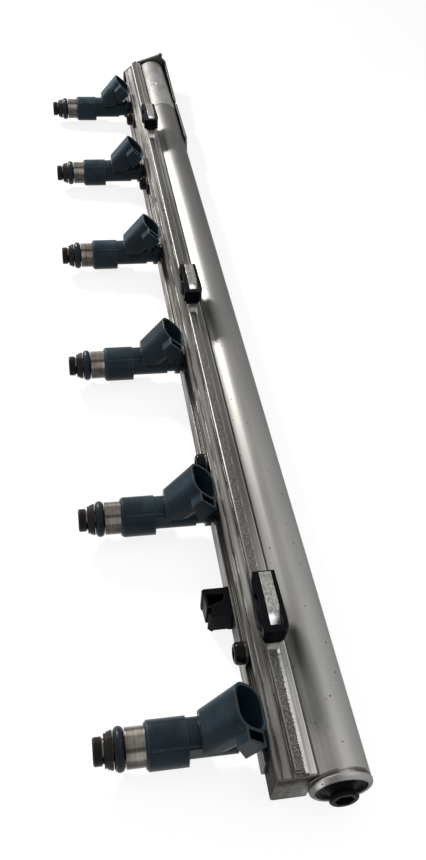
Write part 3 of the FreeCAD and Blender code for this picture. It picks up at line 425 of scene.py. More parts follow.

# %% [markdown]
# ### The tube
# The side of the tube that faces the block is painted paler far off than near the camera, and its top goes
# the other way: painted highlight and shade, as the lamp falls along the tube. Two tones, mixed across the
# tube, give that slow change. The foot of the tube is painted paler too, a painted light, and a painted
# bright line marks where it leaves the shelf.

# %% Tube colour
TUBE_DARK = rgb(0.155, 0.153, 0.147)
TUBE_PALE = rgb(0.2, 0.197, 0.19)
# Painted highlight and shade along and across the tube, and painted light at its foot.
FRONT_SIDE_PAINTED_LIGHT = ((-60, 130, 1.05, 0.62), (150, 200, 0.0, 0.18))
TOP_SIDE_PAINTED_LIGHT = ((-120, 100, 0.78, 1.25), (100, 180, 0.0, 0.38))
TUBE_FOOT_PAINTED_LIGHT = (7.4, 9.8, 2.4, 1.0)
TUBE_TURNS_UP = (11.8, 15.2)
VALLEY_BAND = (6.4, 7.6, 0.6)
VALLEY_FROM_Z = (14.0, 16.0)
VALLEY_FADE = (140, 200, 0.2, 1.0)
# The colour of the painted bright line along the valley.
VALLEY_PAINTED_LIGHT = (0.55, rgb(0.72, 0.71, 0.69))


def tube_colour(tree, spot, cloudy):
    """A cloudy grey whose painted highlight and shade change along the tube and across it."""
    x, y, _ = axes(tree, spot)
    # Tones of painted highlight and shade for the two sides of the tube, and painted light at its foot.
    front_side, top_side = [
        math_node(tree, "ADD", fade(tree, x, *first), fade(tree, x, *second))
        for first, second in (FRONT_SIDE_PAINTED_LIGHT, TOP_SIDE_PAINTED_LIGHT)]
    front_side = times(tree, front_side, fade(tree, y, *TUBE_FOOT_PAINTED_LIGHT))
    tone = mix_number(tree, fade(tree, y, *TUBE_TURNS_UP), front_side, top_side)
    return toned(tree, mix_colour(tree, remap(tree, cloudy, *WIDE), TUBE_DARK, TUBE_PALE), tone)


def valley_painted_line(tree, spot):
    """1 where the tube leaves the shelf, for a painted bright line, weaker away from the camera."""
    x, y, z = axes(tree, spot)
    line = times(tree, band(tree, y, *VALLEY_BAND), fade(tree, z, *VALLEY_FROM_Z))
    return times(tree, line, fade(tree, x, *VALLEY_FADE))


print("the tube turns up over", round(TUBE_TURNS_UP[1] - TUBE_TURNS_UP[0], 1), "mm")

# %% [markdown]
# ### Dirt in the grooves, and painted shade
# Oil and dust settle in the scored line, at the step of the ridge and along the front edge. Even stripes
# would look painted, so a long fine noise breaks them up, and they keep to the top of the block. The front
# face below is painted dark as a whole, a painted shade, and the corners of the block get a painted shade.

# %% Dirt and painted shade on the block
GRIME_GRAIN = (70, 800, 800)
GRIME_COAT = (0.85, rgb(0.03, 0.023, 0.017))
# The colour of the painted shade on the front face of the block.
FRONT_FACE_SHADE = rgb(0.022, 0.019, 0.016)
# The reach and colour of a painted shade in the corners of the block.
CORNER_REACH = 2.2
CORNER_PAINTED_SHADE = (0.6, rgb(0.035, 0.03, 0.025))


def groove_grime(tree, spot, on_block):
    """1 where dirt fills the scored line, the step of the ridge and the front edge."""
    _, y, z = axes(tree, spot)
    groove = band(tree, y, STRIP_LINES[0] - 0.45, STRIP_LINES[0] + 0.35, 0.35)
    step = band(tree, y, STRIP_LINES[1] - 0.3, STRIP_LINES[1] + 0.25, 0.3)
    front_edge = band(tree, y, BLOCK_FRONT_Y - 0.2, BLOCK_FRONT_Y + 0.3, 0.3)
    grime = math_node(tree, "MAXIMUM", math_node(tree, "MAXIMUM", groove, step), front_edge)
    ragged = remap(tree, stretched_noise(tree, spot, GRIME_GRAIN, detail=6, seed=7), 0.44, 0.56)
    on_top = fade(tree, z, BLOCK_TOP_FROM_Z, BLOCK_TOP_FROM_Z + 0.4)
    return times(tree, grime, ragged, on_block, on_top)


def front_face_painted_shade(tree, spot, cloudy):
    """How strongly a painted shade darkens the front face of the block."""
    _, y, z = axes(tree, spot)
    on_face = fade(tree, y, BLOCK_FRONT_Y + 0.04, BLOCK_FRONT_Y + 0.08, 1.0, 0.0)
    below_top = fade(tree, z, BLOCK_TOP_FROM_Z, BLOCK_TOP_FROM_Z + 0.6, 1.0, 0.0)
    return times(tree, on_face, below_top, remap(tree, cloudy, 0.35, 0.6, 0.9, 0.6))


# The reach printed here is that of the painted shade in the corners of the block.
print("dirt reaches", CORNER_REACH, "mm out of corners")

# %% [markdown]
# ### The milled ridge
# The cutter left a rough grey floor on the ridge, and its front edge is rubbed bright along the far and
# middle part. Along its back edge lies a lapped burr that grows towards the camera. The burr's limit
# wanders, so a noise that changes mostly along the rail sets it. Away from the camera the burr is only this
# pale band, and near the camera real flakes are added to it later.

# %% Ridge floor, front line and burr
GRIT_DARK = rgb(0.010, 0.009, 0.008)
GRIT_PALE = rgb(0.12, 0.117, 0.112)
GRIT_SHARE = 0.85
FRONT_LINE_FADE = (130, 170, 0.9, 0.1)
FRONT_LINE_COAT = (1.0, rgb(0.62, 0.61, 0.59))
BURR_GRAIN = (260, 5, 5)
BURR_FROM_Y = (2.6, 3.3)
BURR_FADES = ((20, 160, 0.12, 0.5), (200, 210, 0.0, 0.5))
BURR_COAT = (1.0, rgb(0.52, 0.515, 0.5))


def ridge_floor(tree, spot):
    """1 on the rough floor of the ridge."""
    _, y, z = axes(tree, spot)
    return times(tree, band(tree, y, RIDGE_BAND[0], RIDGE_BAND[1] - 0.9, 0.3),
                 band(tree, z, RIDGE_TOP - 0.3, RIDGE_TOP + 0.3, 0.2))


def ridge_front_line(tree, spot):
    """How bright the front edge of the ridge is rubbed."""
    x, y, z = axes(tree, spot)
    edge = times(tree, band(tree, y, RIDGE_BAND[0] - 0.05, RIDGE_BAND[0] + 0.4, 0.1),
                 band(tree, z, RIDGE_TOP - 0.4, RIDGE_TOP + 0.3, 0.1))
    return times(tree, edge, fade(tree, x, *FRONT_LINE_FADE))


def ridge_burr_band(tree, spot):
    """How much of the lapped burr shows along the back edge of the ridge."""
    x, y, z = axes(tree, spot)
    wander = stretched_noise(tree, spot, BURR_GRAIN, detail=4, seed=5)
    start = remap(tree, wander, *NARROW, BURR_FROM_Y[0] * MM, BURR_FROM_Y[1] * MM)
    behind_start = math_node(tree, "GREATER_THAN", y, start)
    burr = times(tree, behind_start, band(tree, y, 2.0, RIDGE_BAND[1] + 0.05, 0.05),
                 band(tree, z, RIDGE_TOP - 0.8, RIDGE_TOP + 0.3, 0.2))
    far, near = BURR_FADES
    return times(tree, burr, math_node(tree, "ADD", fade(tree, x, *far), fade(tree, x, *near)))


print("the burr wanders over", round(BURR_FROM_Y[1] - BURR_FROM_Y[0], 1), "mm")

# %% [markdown]
# ### Tongues, crease and pits
# Three tongues stand above the cut ridge. Their blades are coarse, and each has one slanted facet with a
# painted highlight, which is found by the way it faces. Brown dirt lies in the crease behind the lip of the
# tube, and dark pits are strewn over everything.

# %% Tongues and small marks
BLADE_ABOVE_RIDGE = (2.0, 4.0)
BLADE_GRAIN = (900, 1400, 1400)
BLADE_DARK = rgb(0.12, 0.115, 0.105)
BLADE_PALE = rgb(0.36, 0.355, 0.34)
BLADE_SHARE = 0.9
# The painted highlight of the facet that faces back and up.
FACET_PAINTED_HIGHLIGHT = (1.0, rgb(0.85, 0.86, 0.88))
CREASE_GRAIN = (90, 160, 160)
CREASE_COAT = (0.8, rgb(0.05, 0.035, 0.025))
PIT_COAT = (0.85, rgb(0.03, 0.027, 0.024))
RUBBED_COAT = (0.35, rgb(0.5, 0.49, 0.47))


def with_tongues(tree, spot, colour):
    """The colour with coarse blades above the ridge, each with a painted highlight on one facet."""
    low, high = BLADE_ABOVE_RIDGE
    blade = fade(tree, axes(tree, spot)[2], RIDGE_TOP + low, RIDGE_TOP + high)
    grain = stretched_noise(tree, spot, BLADE_GRAIN, detail=6, roughness=0.75, seed=17)
    grain_colour = mix_colour(tree, remap(tree, grain, 0.4, 0.62), BLADE_DARK, BLADE_PALE)
    colour = coated(tree, colour, blade, BLADE_SHARE, grain_colour)
    # A painted highlight on the facet that faces back and up.
    _, faces_back, faces_up = axes(tree, put(tree, "ShaderNodeNewGeometry").outputs["Normal"])
    facet = times(tree, blade, remap(tree, faces_back, 0.15, 0.25), remap(tree, faces_up, 0.3, 0.4))
    return coated(tree, colour, facet, *FACET_PAINTED_HIGHLIGHT)


def crease_dirt(tree, spot):
    """1 in patches along the crease behind the lip of the tube."""
    crease = band(tree, axes(tree, spot)[0], NEAR_FACE_X - 0.4, NEAR_FACE_X + 0.7, 0.25)
    return times(tree, crease, remap(tree, stretched_noise(tree, spot, CREASE_GRAIN, seed=13), 0.38, 0.5))


def pit_marks(tree, spot):
    """1 in small pits and in a few larger ones."""
    small = specks(tree, spot, per_metre=190, size=0.09, share=0.5)
    large = specks(tree, spot, per_metre=420, size=0.16, share=0.1, seed=4)
    return math_node(tree, "MAXIMUM", small, large)


print("blades start", BLADE_ABOVE_RIDGE[0], "mm above the ridge")

# %% [markdown]
# ### The whole finish
# The layers are stacked from the bare metal up. It is fully metallic, so its colour is the colour of its
# reflections. The drawn lines, the grit of the ridge and the pits are also a bump.

# %% Profile aluminium
LINES_ON_TUBE_AND_BLOCK = (0.12, 0.6)
GRIT_HEIGHT = 2.5
PIT_HEIGHT = 1.5


def rail_colour(tree, spot, noises, masks):
    """The colour of the whole profile, layer by layer."""
    drawn, cloudy, gritty = noises
    on_tube, on_block, grime, ridge, burr, pits, worn = masks
    on_strips = block_colour(tree, spot, drawn, cloudy)
    # The tube carries painted highlight and shade.
    colour = mix_colour(tree, on_tube, on_strips, tube_colour(tree, spot, cloudy))
    # A painted bright line of light along the valley beside the shelf.
    colour = coated(tree, colour, valley_painted_line(tree, spot), *VALLEY_PAINTED_LIGHT)
    colour = coated(tree, colour, grime, *GRIME_COAT)
    # A painted shade on the front face of the block.
    colour = mix_colour(tree, front_face_painted_shade(tree, spot, cloudy), colour, FRONT_FACE_SHADE)
    # A painted shade in the corners of the block.
    colour = coated(tree, colour, times(tree, hollows(tree, CORNER_REACH), on_block), *CORNER_PAINTED_SHADE)
    grit = mix_colour(tree, remap(tree, gritty, 0.42, 0.6), GRIT_DARK, GRIT_PALE)
    colour = coated(tree, colour, ridge, GRIT_SHARE, grit)
    colour = coated(tree, colour, ridge_front_line(tree, spot), *FRONT_LINE_COAT)
    colour = coated(tree, colour, burr, *BURR_COAT)
    # The tongues, with a painted highlight on one facet.
    colour = with_tongues(tree, spot, colour)
    colour = coated(tree, colour, crease_dirt(tree, spot), *CREASE_COAT)
    colour = coated(tree, colour, pits, *PIT_COAT)
    return coated(tree, colour, worn, *RUBBED_COAT)


def rail_aluminium():
    """Extruded and milled aluminium with grime, scuffs, pits, a bright burr along the ridge, and painted light and
    shade.
    """
    material, tree, shader = new_finish("rail_aluminium_scuffed")
    spot = place(tree)
    rounded = rounded_normal(tree, 0.35)
    drawn = stretched_noise(tree, spot, DRAWN_GRAIN, detail=4)
    cloudy = stretched_noise(tree, spot, CLOUD_GRAIN, detail=4, seed=3)
    gritty = stretched_noise(tree, spot, GRIT_GRAIN, detail=6, roughness=0.75, seed=11)
    on_tube = fade(tree, axes(tree, spot)[1], TUBE_FROM_Y, TUBE_FROM_Y + 0.6)
    on_block = math_node(tree, "SUBTRACT", 1.0, on_tube)
    grime = groove_grime(tree, spot, on_block)
    ridge = ridge_floor(tree, spot)
    burr = ridge_burr_band(tree, spot)
    pits = pit_marks(tree, spot)
    masks = (on_tube, on_block, grime, ridge, burr, pits, edge_wear(tree, rounded))
    colour = rail_colour(tree, spot, (drawn, cloudy, gritty), masks)

    block_rough = remap(tree, drawn, *WIDE, 0.34, 0.58)
    rough = mix_number(tree, on_tube, block_rough, remap(tree, cloudy, *WIDE, 0.42, 0.5))
    rough = math_node(tree, "ADD", rough, times(tree, grime, 0.3))
    rough = math_node(tree, "SUBTRACT", rough, times(tree, burr, 0.12), clamp=True)
    surface(tree, shader, colour, rough, metal=1.0)
    shader.inputs["Specular Tint"].default_value = rgb(0.45, 0.45, 0.45)

    height = times(tree, drawn, remap(tree, on_block, 0, 1, *LINES_ON_TUBE_AND_BLOCK))
    height = math_node(tree, "ADD", height, times(tree, gritty, ridge, GRIT_HEIGHT))
    height = math_node(tree, "SUBTRACT", height, times(tree, pits, PIT_HEIGHT))
    bump(tree, shader, height, 0.05, rounded)
    return material


finishes = {"rail_aluminium": rail_aluminium()}
print("made", list(finishes))

# %% [markdown]
# ## Cap, bracket and strip
# The cap over the far end of the tube was drawn and is duller, with cloudy stains. The bracket is sheet
# painted dark all over, a painted shade for its inner faces that stand in shadow, and the strip along the
# injectors is brighter, with dark stains and smears that are partly grime and partly painted shade and dark
# reflections. All three get a painted shade in their corners. They are close relatives, so one function
# makes all three and takes colours, roughness, grain and stains as arguments.

# %% Sheet metal
SHEET_PATCHES = (45, 110, 110)
SHEET_GRIME_AND_SHADE_GRAIN = (30, 200, 200)
SHEET_SPECK_COAT = (0.7, rgb(0.05, 0.045, 0.04))
# Smears that are partly grime and partly painted shade and dark reflections.
SHEET_GRIME_AND_SHADE = rgb(0.06, 0.05, 0.042)
SHEET_EDGE_COAT = (0.3, rgb(0.7, 0.69, 0.66))
# The colour of a painted shade in corners.
SHEET_CORNER_SHADE = (0.8, rgb(0.03, 0.025, 0.02))


def sheet_metal(name, clean, stained, rough, grain, stain_share, grime_and_shade_share=0.0):
    """Sheet or drawn aluminium: fine grain, cloudy stains, patches of grime and painted shade, and painted shade in
    corners.
    """
    material, tree, shader = new_finish(name)
    spot = place(tree)
    rounded = rounded_normal(tree, 0.3)
    fine = stretched_noise(tree, spot, grain, detail=4)
    patches = stretched_noise(tree, spot, SHEET_PATCHES, detail=5, seed=2)
    clean_share = 1 - stain_share
    stain = remap(tree, patches, clean_share - 0.08, clean_share + 0.12)
    colour = toned(tree, mix_colour(tree, stain, clean, stained), remap(tree, fine, *WIDE, 0.82, 1.1))
    dots = specks(tree, spot, per_metre=260, size=0.16, share=0.1)
    colour = coated(tree, colour, dots, *SHEET_SPECK_COAT)
    if grime_and_shade_share:
        # Smears that are partly grime and partly painted shade and dark reflections.
        grime_and_shade = remap(tree, stretched_noise(tree, spot, SHEET_GRIME_AND_SHADE_GRAIN, detail=5, seed=9), 0.5, 0.62)
        colour = coated(tree, colour, grime_and_shade, grime_and_shade_share, SHEET_GRIME_AND_SHADE)
    colour = coated(tree, colour, edge_wear(tree, rounded), *SHEET_EDGE_COAT)
    # A painted shade in the corners.
    colour = coated(tree, colour, hollows(tree, 3.0), *SHEET_CORNER_SHADE)
    surface(tree, shader, colour, remap(tree, patches, *NARROW, *rough), metal=1.0)
    bump(tree, shader, fine, 0.03, rounded)
    return material


finishes["cap_aluminium"] = sheet_metal(
    "cap_aluminium_dull", clean=rgb(0.21, 0.208, 0.2), stained=rgb(0.13, 0.128, 0.12),
    rough=(0.48, 0.6), grain=(250, 420, 420), stain_share=0.45)
# The bracket is painted dark all over, a painted shade for its shadowed inner faces.
finishes["bracket_sheet"] = sheet_metal(
    "bracket_sheet_painted_shade", clean=rgb(0.085, 0.085, 0.084), stained=rgb(0.05, 0.05, 0.048),
    rough=(0.4, 0.55), grain=(30, 500, 500), stain_share=0.4)
# The strip's dark stains and smears are partly grime and partly painted shade and dark reflections.
finishes["strip_aluminium"] = sheet_metal(
    "strip_aluminium_bright", clean=rgb(0.20, 0.19, 0.175), stained=rgb(0.05, 0.043, 0.036),
    rough=(0.34, 0.5), grain=(12, 900, 900), stain_share=0.5, grime_and_shade_share=0.85)
print("made", list(finishes))

# %% [markdown]
# ## Moulded plastics
# The injector bodies are glass-filled nylon: a dark blue-grey that is a little cloudy, with paler edges
# that are partly rubbed skin and partly a painted highlight. The clips, plug and snap fastener are a plain
# black moulding with dust on them. A plastic is not a metal, so it is a dark base with a soft gloss on top.
# Its hollows, such as a connector's pocket, get a painted shade, darker than their rendered shade alone.

# %% Plastics
PLASTIC_CLOUDS = (90, 90, 90)
PLASTIC_SKIN = (1500, 1500, 1500)
PLASTIC_DUST = (400, 400, 400)
DUST_HIDES = 0.35
PLASTIC_HOLLOW_REACH = 7.0
# The colour of a painted shade in hollows.
PLASTIC_HOLLOW_SHADE = (0.85, rgb(0.004, 0.005, 0.006))


def moulded_plastic(name, base, cloud, edge, rough, dust, dusty_share, shine):
    """A moulded plastic: cloudy colour, paler edges that are partly rubbed and partly a painted highlight, dust,
    painted shade in hollows and a fine grain.
    """
    material, tree, shader = new_finish(name)
    spot = place(tree)
    rounded = rounded_normal(tree, 0.4)
    clouds = stretched_noise(tree, spot, PLASTIC_CLOUDS, detail=4)
    colour = mix_colour(tree, remap(tree, clouds, *NARROW), base, cloud)
    # Paler edges, partly rubbed skin and partly a painted highlight.
    rubbed_and_highlit = times(tree, edge_wear(tree, rounded, width=0.1), remap(tree, clouds, 0.35, 0.6, 0.35, 0.9))
    colour = mix_colour(tree, rubbed_and_highlit, colour, edge)
    specked = stretched_noise(tree, spot, PLASTIC_DUST, detail=5, seed=8)
    clear_share = 1 - dusty_share
    dusty = remap(tree, specked, clear_share, clear_share + 0.1)
    colour = coated(tree, colour, dusty, DUST_HIDES, dust)
    # A painted shade in hollows.
    colour = coated(tree, colour, hollows(tree, PLASTIC_HOLLOW_REACH), *PLASTIC_HOLLOW_SHADE)
    surface(tree, shader, colour, remap(tree, clouds, *WIDE, *rough), shine=shine)
    bump(tree, shader, stretched_noise(tree, spot, PLASTIC_SKIN, detail=3, seed=6), 0.02, rounded)
    return material


# Each edge colour is partly rubbed skin and partly a painted highlight.
finishes["injector_plastic"] = moulded_plastic(
    "injector_plastic_blue_grey", base=rgb(0.0085, 0.0165, 0.0235), cloud=rgb(0.0195, 0.037, 0.050),
    edge=rgb(0.14, 0.18, 0.2), rough=(0.26, 0.44), dust=rgb(0.055, 0.08, 0.09),
    dusty_share=0.34, shine=0.12)
finishes["black_plastic"] = moulded_plastic(
    "black_plastic_satin", base=rgb(0.003, 0.003, 0.0042), cloud=rgb(0.006, 0.0058, 0.0078),
    edge=rgb(0.03, 0.03, 0.034), rough=(0.3, 0.42), dust=rgb(0.03, 0.028, 0.025),
    dusty_share=0.16, shine=0.03)
finishes["tip_plastic"] = moulded_plastic(
    "tip_plastic_black", base=rgb(0.004, 0.004, 0.005), cloud=rgb(0.009, 0.008, 0.008),
    edge=rgb(0.15, 0.15, 0.155), rough=(0.26, 0.38), dust=rgb(0.05, 0.042, 0.038),
    dusty_share=0.22, shine=0.1)
finishes["filter_plastic"] = moulded_plastic(
    "filter_plastic_amber", base=rgb(0.42, 0.33, 0.16), cloud=rgb(0.5, 0.4, 0.22),
    edge=rgb(0.6, 0.52, 0.35), rough=(0.4, 0.5), dust=rgb(0.3, 0.25, 0.16),
    dusty_share=0.3, shine=0.4)
print("made", list(finishes))

# %% [markdown]
# ## Seals and spacer rings
# The O-rings are smooth rubber with an oily shine. The spacer rings behind the tip are stacked plastic
# washers that heat has browned, one ring more than the next. A Wave pattern with its stripes across the
# injector gives each ring its own shade, and a little distortion keeps the limits from being ruled lines.

# %% Rubber
RUBBER_DARK = rgb(0.006, 0.009, 0.012)
RUBBER_PALE = rgb(0.012, 0.018, 0.022)


def seal_rubber():
    """Dark rubber with a soft oily shine and faint scratches round it."""
    material, tree, shader = new_finish("seal_rubber_oily")
    spot = place(tree)
    clouds = stretched_noise(tree, spot, (160, 160, 160), detail=4)
    scratches = stretched_noise(tree, spot, (80, 1600, 80), detail=2, seed=5)
    colour = mix_colour(tree, remap(tree, clouds, *WIDE), RUBBER_DARK, RUBBER_PALE)
    surface(tree, shader, colour, remap(tree, clouds, *WIDE, 0.26, 0.42), shine=0.14)
    bump(tree, shader, scratches, 0.02, put(tree, "ShaderNodeNewGeometry").outputs["Normal"])
    return material


finishes["seal_rubber"] = seal_rubber()
print("made", finishes["seal_rubber"].name)

# %% Spacer rings
RING_STRIPES = {"Scale": 170.0, "Distortion": 0.6, "Detail": 1.0}
SPACER_BLACK = rgb(0.003, 0.003, 0.003)
SPACER_BROWN = rgb(0.013, 0.008, 0.0065)
SPACER_PATCH = rgb(0.032, 0.022, 0.018)
SPACER_EDGE_COAT = (0.5, rgb(0.12, 0.085, 0.065))


def spacer_plastic():
    """Stacked rings, black and brown in turn along the injector."""
    material, tree, shader = new_finish("spacer_plastic_browned")
    spot = place(tree)
    rounded = rounded_normal(tree, 0.15)
    stripes = put(tree, "ShaderNodeTexWave", {"Vector": spot, **RING_STRIPES}, bands_direction="Y")
    clouds = stretched_noise(tree, spot, (300, 300, 300), detail=4)
    colour = mix_colour(tree, remap(tree, stripes.outputs["Fac"], 0.4, 0.6), SPACER_BLACK, SPACER_BROWN)
    colour = mix_colour(tree, remap(tree, clouds, 0.55, 0.7), colour, SPACER_PATCH)
    colour = coated(tree, colour, edge_wear(tree, rounded), *SPACER_EDGE_COAT)
    surface(tree, shader, colour, remap(tree, clouds, *WIDE, 0.26, 0.45), shine=0.15)
    bump(tree, shader, clouds, 0.03, rounded)
    return material


finishes["spacer_plastic"] = spacer_plastic()
print("made", finishes["spacer_plastic"].name)

# %% [markdown]
# ## Steel and contact metal
# The band of each injector was turned, so its fine lines run round it: noise that is squeezed along Y and
# long across X and Z, with brown stains from fuel and heat. Such a band shows polished lines and a dark one,
# because it mirrors what stands round it. The plain room here holds nothing to mirror, so these lines are
# painted reflections, in the same place on all six bands: a MODULO folds the row into one. The band is also
# darker towards its foot. Each line is given by its two sides and soft edge, in millimetres from the axis,
# and by how much it lifts or lowers the tone. The contacts are tinned brass, and the screws are black oxide.

# %% Tones round a steel band
INJECTOR_PITCH = 96.5
INJECTORS_EACH_SIDE = 3
BAND_TONES = ((-2.5, -1.3, 0.7, 0.9), (3.2, 4.0, 0.3, -0.6), (4.6, 5.6, 0.4, 0.5))
BAND_FOOT_FADE = (10.5, 13.0, 0.45, 1.0)


def round_tone(tree, spot):
    """How light a steel band is from place to place round it."""
    x, _, z = axes(tree, spot)
    from_row_start = math_node(tree, "ADD", x, INJECTORS_EACH_SIDE * INJECTOR_PITCH * MM)
    in_one_pitch = math_node(tree, "MODULO", from_row_start, INJECTOR_PITCH * MM)
    from_axis = math_node(tree, "SUBTRACT", in_one_pitch, INJECTOR_PITCH * MM / 2)
    tone = fade(tree, z, *BAND_FOOT_FADE)
    for low, high, soft, lift in BAND_TONES:
        tone = math_node(tree, "ADD", tone, times(tree, band(tree, from_axis, low, high, soft), lift))
    return tone


print("tones in", len(BAND_TONES), "lines")

# %% Steel band, screws and contacts
TURNED_LINES = (20, 900, 20)
TURNED_CLOUDS = (260, 160, 260)
TURNED_SPECK_COAT = (0.7, rgb(0.04, 0.035, 0.03))


def turned_metal(name, clean, stained, rough, stain, metal=1.0, shine=0.5, banded=False):
    """Turned metal with lines round the axis and cloudy stains."""
    material, tree, shader = new_finish(name)
    spot = place(tree)
    lines = stretched_noise(tree, spot, TURNED_LINES, detail=4)
    clouds = stretched_noise(tree, spot, TURNED_CLOUDS, detail=5, seed=4)
    colour = mix_colour(tree, times(tree, remap(tree, clouds, 0.42, 0.66), stain), clean, stained)
    shade = remap(tree, lines, 0.32, 0.68, 0.7, 1.3)
    if banded:
        shade = times(tree, shade, round_tone(tree, spot))
    colour = toned(tree, colour, shade)
    dots = specks(tree, spot, per_metre=500, size=0.16, share=0.08)
    colour = coated(tree, colour, dots, *TURNED_SPECK_COAT)
    surface(tree, shader, colour, remap(tree, clouds, *WIDE, *rough), metal, shine)
    bump(tree, shader, lines, 0.02, rounded_normal(tree, 0.2))
    return material


finishes["injector_steel"] = turned_metal(
    "injector_steel_brushed", clean=rgb(0.16, 0.148, 0.132), stained=rgb(0.05, 0.04, 0.03),
    rough=(0.2, 0.34), stain=0.6, banded=True)
finishes["screw_black"] = turned_metal(
    "screw_black_oxide", clean=rgb(0.003, 0.003, 0.0036), stained=rgb(0.01, 0.009, 0.008),
    rough=(0.12, 0.22), stain=0.5, metal=0.0, shine=0.08)
finishes["terminal_brass"] = turned_metal(
    "terminal_tinned", clean=rgb(0.55, 0.52, 0.45), stained=rgb(0.4, 0.33, 0.2), rough=(0.3, 0.4), stain=0.5)
burr_metal = turned_metal(
    "burr_aluminium_bright", clean=rgb(0.5, 0.495, 0.475), stained=rgb(0.33, 0.325, 0.31),
    rough=(0.3, 0.45), stain=0.6)
print("made", sorted(finishes))

# %% [markdown]
# ## Finishes on the carried solids
# The record names a material slot for each solid, so the finish follows the slot. The solids arrive as
# loose triangles with flat faces. Their own meshes must not be touched, so a small node tree on a modifier
# joins the corners and shades every gentle edge smooth, while edges over 32 degrees stay crisp.

# %% Smooth shading as a modifier
SMOOTH_UNDER = math.radians(32.0)
MERGE_DISTANCE = 0.002 * MM


def smoothing_tree():
    """Geometry nodes that weld loose triangles and shade gentle edges smooth."""
    tree = bpy.data.node_groups.new("weld_and_smooth", "GeometryNodeTree")
    for in_out in ("INPUT", "OUTPUT"):
        tree.interface.new_socket("Geometry", in_out=in_out, socket_type="NodeSocketGeometry")
    loose = put(tree, "NodeGroupInput").outputs[0]
    welded = put(tree, "GeometryNodeMergeByDistance", {"Geometry": loose, "Distance": MERGE_DISTANCE})
    smooth = put(tree, "GeometryNodeSetShadeSmooth", {"Geometry": welded.outputs[0], "Shade Smooth": True})
    angle = put(tree, "GeometryNodeInputMeshEdgeAngle").outputs["Unsigned Angle"]
    gentle = put(tree, "FunctionNodeCompare", {0: angle, 1: SMOOTH_UNDER}, data_type="FLOAT",
                 operation="LESS_THAN").outputs[0]
    creased = put(tree, "GeometryNodeSetShadeSmooth", {"Geometry": smooth.outputs[0], "Shade Smooth": gentle},
                  domain="EDGE")
    put(tree, "NodeGroupOutput", {0: creased.outputs[0]})
    return tree


weld_and_smooth = smoothing_tree()
print("tree with", len(weld_and_smooth.nodes), "nodes")

# %% Dress every solid
slots = {row["node"]: row["material_slot"] for row in frame["record"]["subparts"]}
for name, solid in nodes.items():
    solid.data.materials.clear()
    solid.data.materials.append(finishes[slots[name]])
    solid.modifiers.new("smooth", "NODES").node_group = weld_and_smooth
print("dressed", len(nodes), "solids with", len(set(slots.values())), "finishes")

# %% [markdown]
# ## What repeats
# The retainer screws, the cutter's marks on the milled ridge and the bright flakes of burr along its back
# edge are many copies of one small form. Placing each by hand would be slow to change, so one node tree puts
# a form on every point of a row, turned and sized a little at random from a fixed seed.

# %% A tree that repeats a form
REPEAT_INPUTS = {"Geometry": "Geometry", "Form": "Object", "Finish": "Material", "Step": "Float",
                 "Spread": "Vector", "Turn": "Vector", "Smallest": "Float", "Seed": "Int"}


def either_way(tree, limit, seed):
    """A random vector, up to a limit either way on each axis."""
    least = put(tree, "ShaderNodeVectorMath", {0: limit, "Scale": -1.0}, operation="SCALE").outputs[0]
    return put(tree, "FunctionNodeRandomValue", {0: least, 1: limit, "Seed": seed},
               data_type="FLOAT_VECTOR").outputs[0]


def repeat_tree(name, resampled):
    """Geometry nodes that put a form on the points of a mesh, or at even steps along its edges."""
    tree = bpy.data.node_groups.new(name, "GeometryNodeTree")
    tree.interface.new_socket("Geometry", in_out="OUTPUT", socket_type="NodeSocketGeometry")
    names = {}
    for title, kind in REPEAT_INPUTS.items():
        socket = tree.interface.new_socket(title, in_out="INPUT", socket_type="NodeSocket" + kind)
        names[title] = socket.identifier
    given = put(tree, "NodeGroupInput").outputs
    places = given["Geometry"]
    if resampled:
        line = put(tree, "GeometryNodeMeshToCurve", {0: places}).outputs[0]
        places = put(tree, "GeometryNodeResampleCurve", {"Curve": line, "Length": given["Step"]},
                     mode="LENGTH").outputs[0]
    shift = either_way(tree, given["Spread"], given["Seed"])
    turn = either_way(tree, given["Turn"], given["Seed"])
    size = put(tree, "FunctionNodeRandomValue", {2: given["Smallest"], 3: 1.0, "Seed": given["Seed"]},
               data_type="FLOAT").outputs[1]
    moved = put(tree, "GeometryNodeSetPosition", {"Geometry": places, "Offset": shift}).outputs[0]
    form = put(tree, "GeometryNodeObjectInfo", {"Object": given["Form"]}).outputs["Geometry"]
    copies = put(tree, "GeometryNodeInstanceOnPoints",
                 {"Points": moved, "Instance": form, "Rotation": turn, "Scale": size})
    solid = put(tree, "GeometryNodeRealizeInstances", {0: copies.outputs[0]}).outputs[0]
    dressed = put(tree, "GeometryNodeSetMaterial", {"Geometry": solid, "Material": given["Finish"]})
    put(tree, "NodeGroupOutput", {0: dressed.outputs[0]})
    return tree, names


at_points = repeat_tree("forms_at_points", resampled=False)
along_edges = repeat_tree("forms_along_edges", resampled=True)
print("inputs:", list(at_points[1]))

# %% [markdown]
# ### From a form to a plain piece
# A form is a small closed mesh, built from rings of points like the slices of a loaf. A row of points or
# edges carries the modifier, its result becomes a plain mesh, and the row and the form are removed again.

# %% Forms, and pieces made of their copies
def form_object(name, rings):
    """A closed form from rings of points, each joined to the next, in millimetres."""
    mesh = bmesh.new()
    rows = [[mesh.verts.new(Vector(point) * MM) for point in ring] for ring in rings]
    count = len(rows[0])
    for here, after in zip(rows, rows[1:]):
        for k in range(count):
            mesh.faces.new((here[k], here[(k + 1) % count], after[(k + 1) % count], after[k]))
    mesh.faces.new(reversed(rows[0]))
    mesh.faces.new(rows[-1])
    bmesh.ops.recalc_face_normals(mesh, faces=mesh.faces)
    data = bpy.data.meshes.new(name)
    mesh.to_mesh(data)
    mesh.free()
    made = bpy.data.objects.new(name, data)
    scene.collection.objects.link(made)
    return made


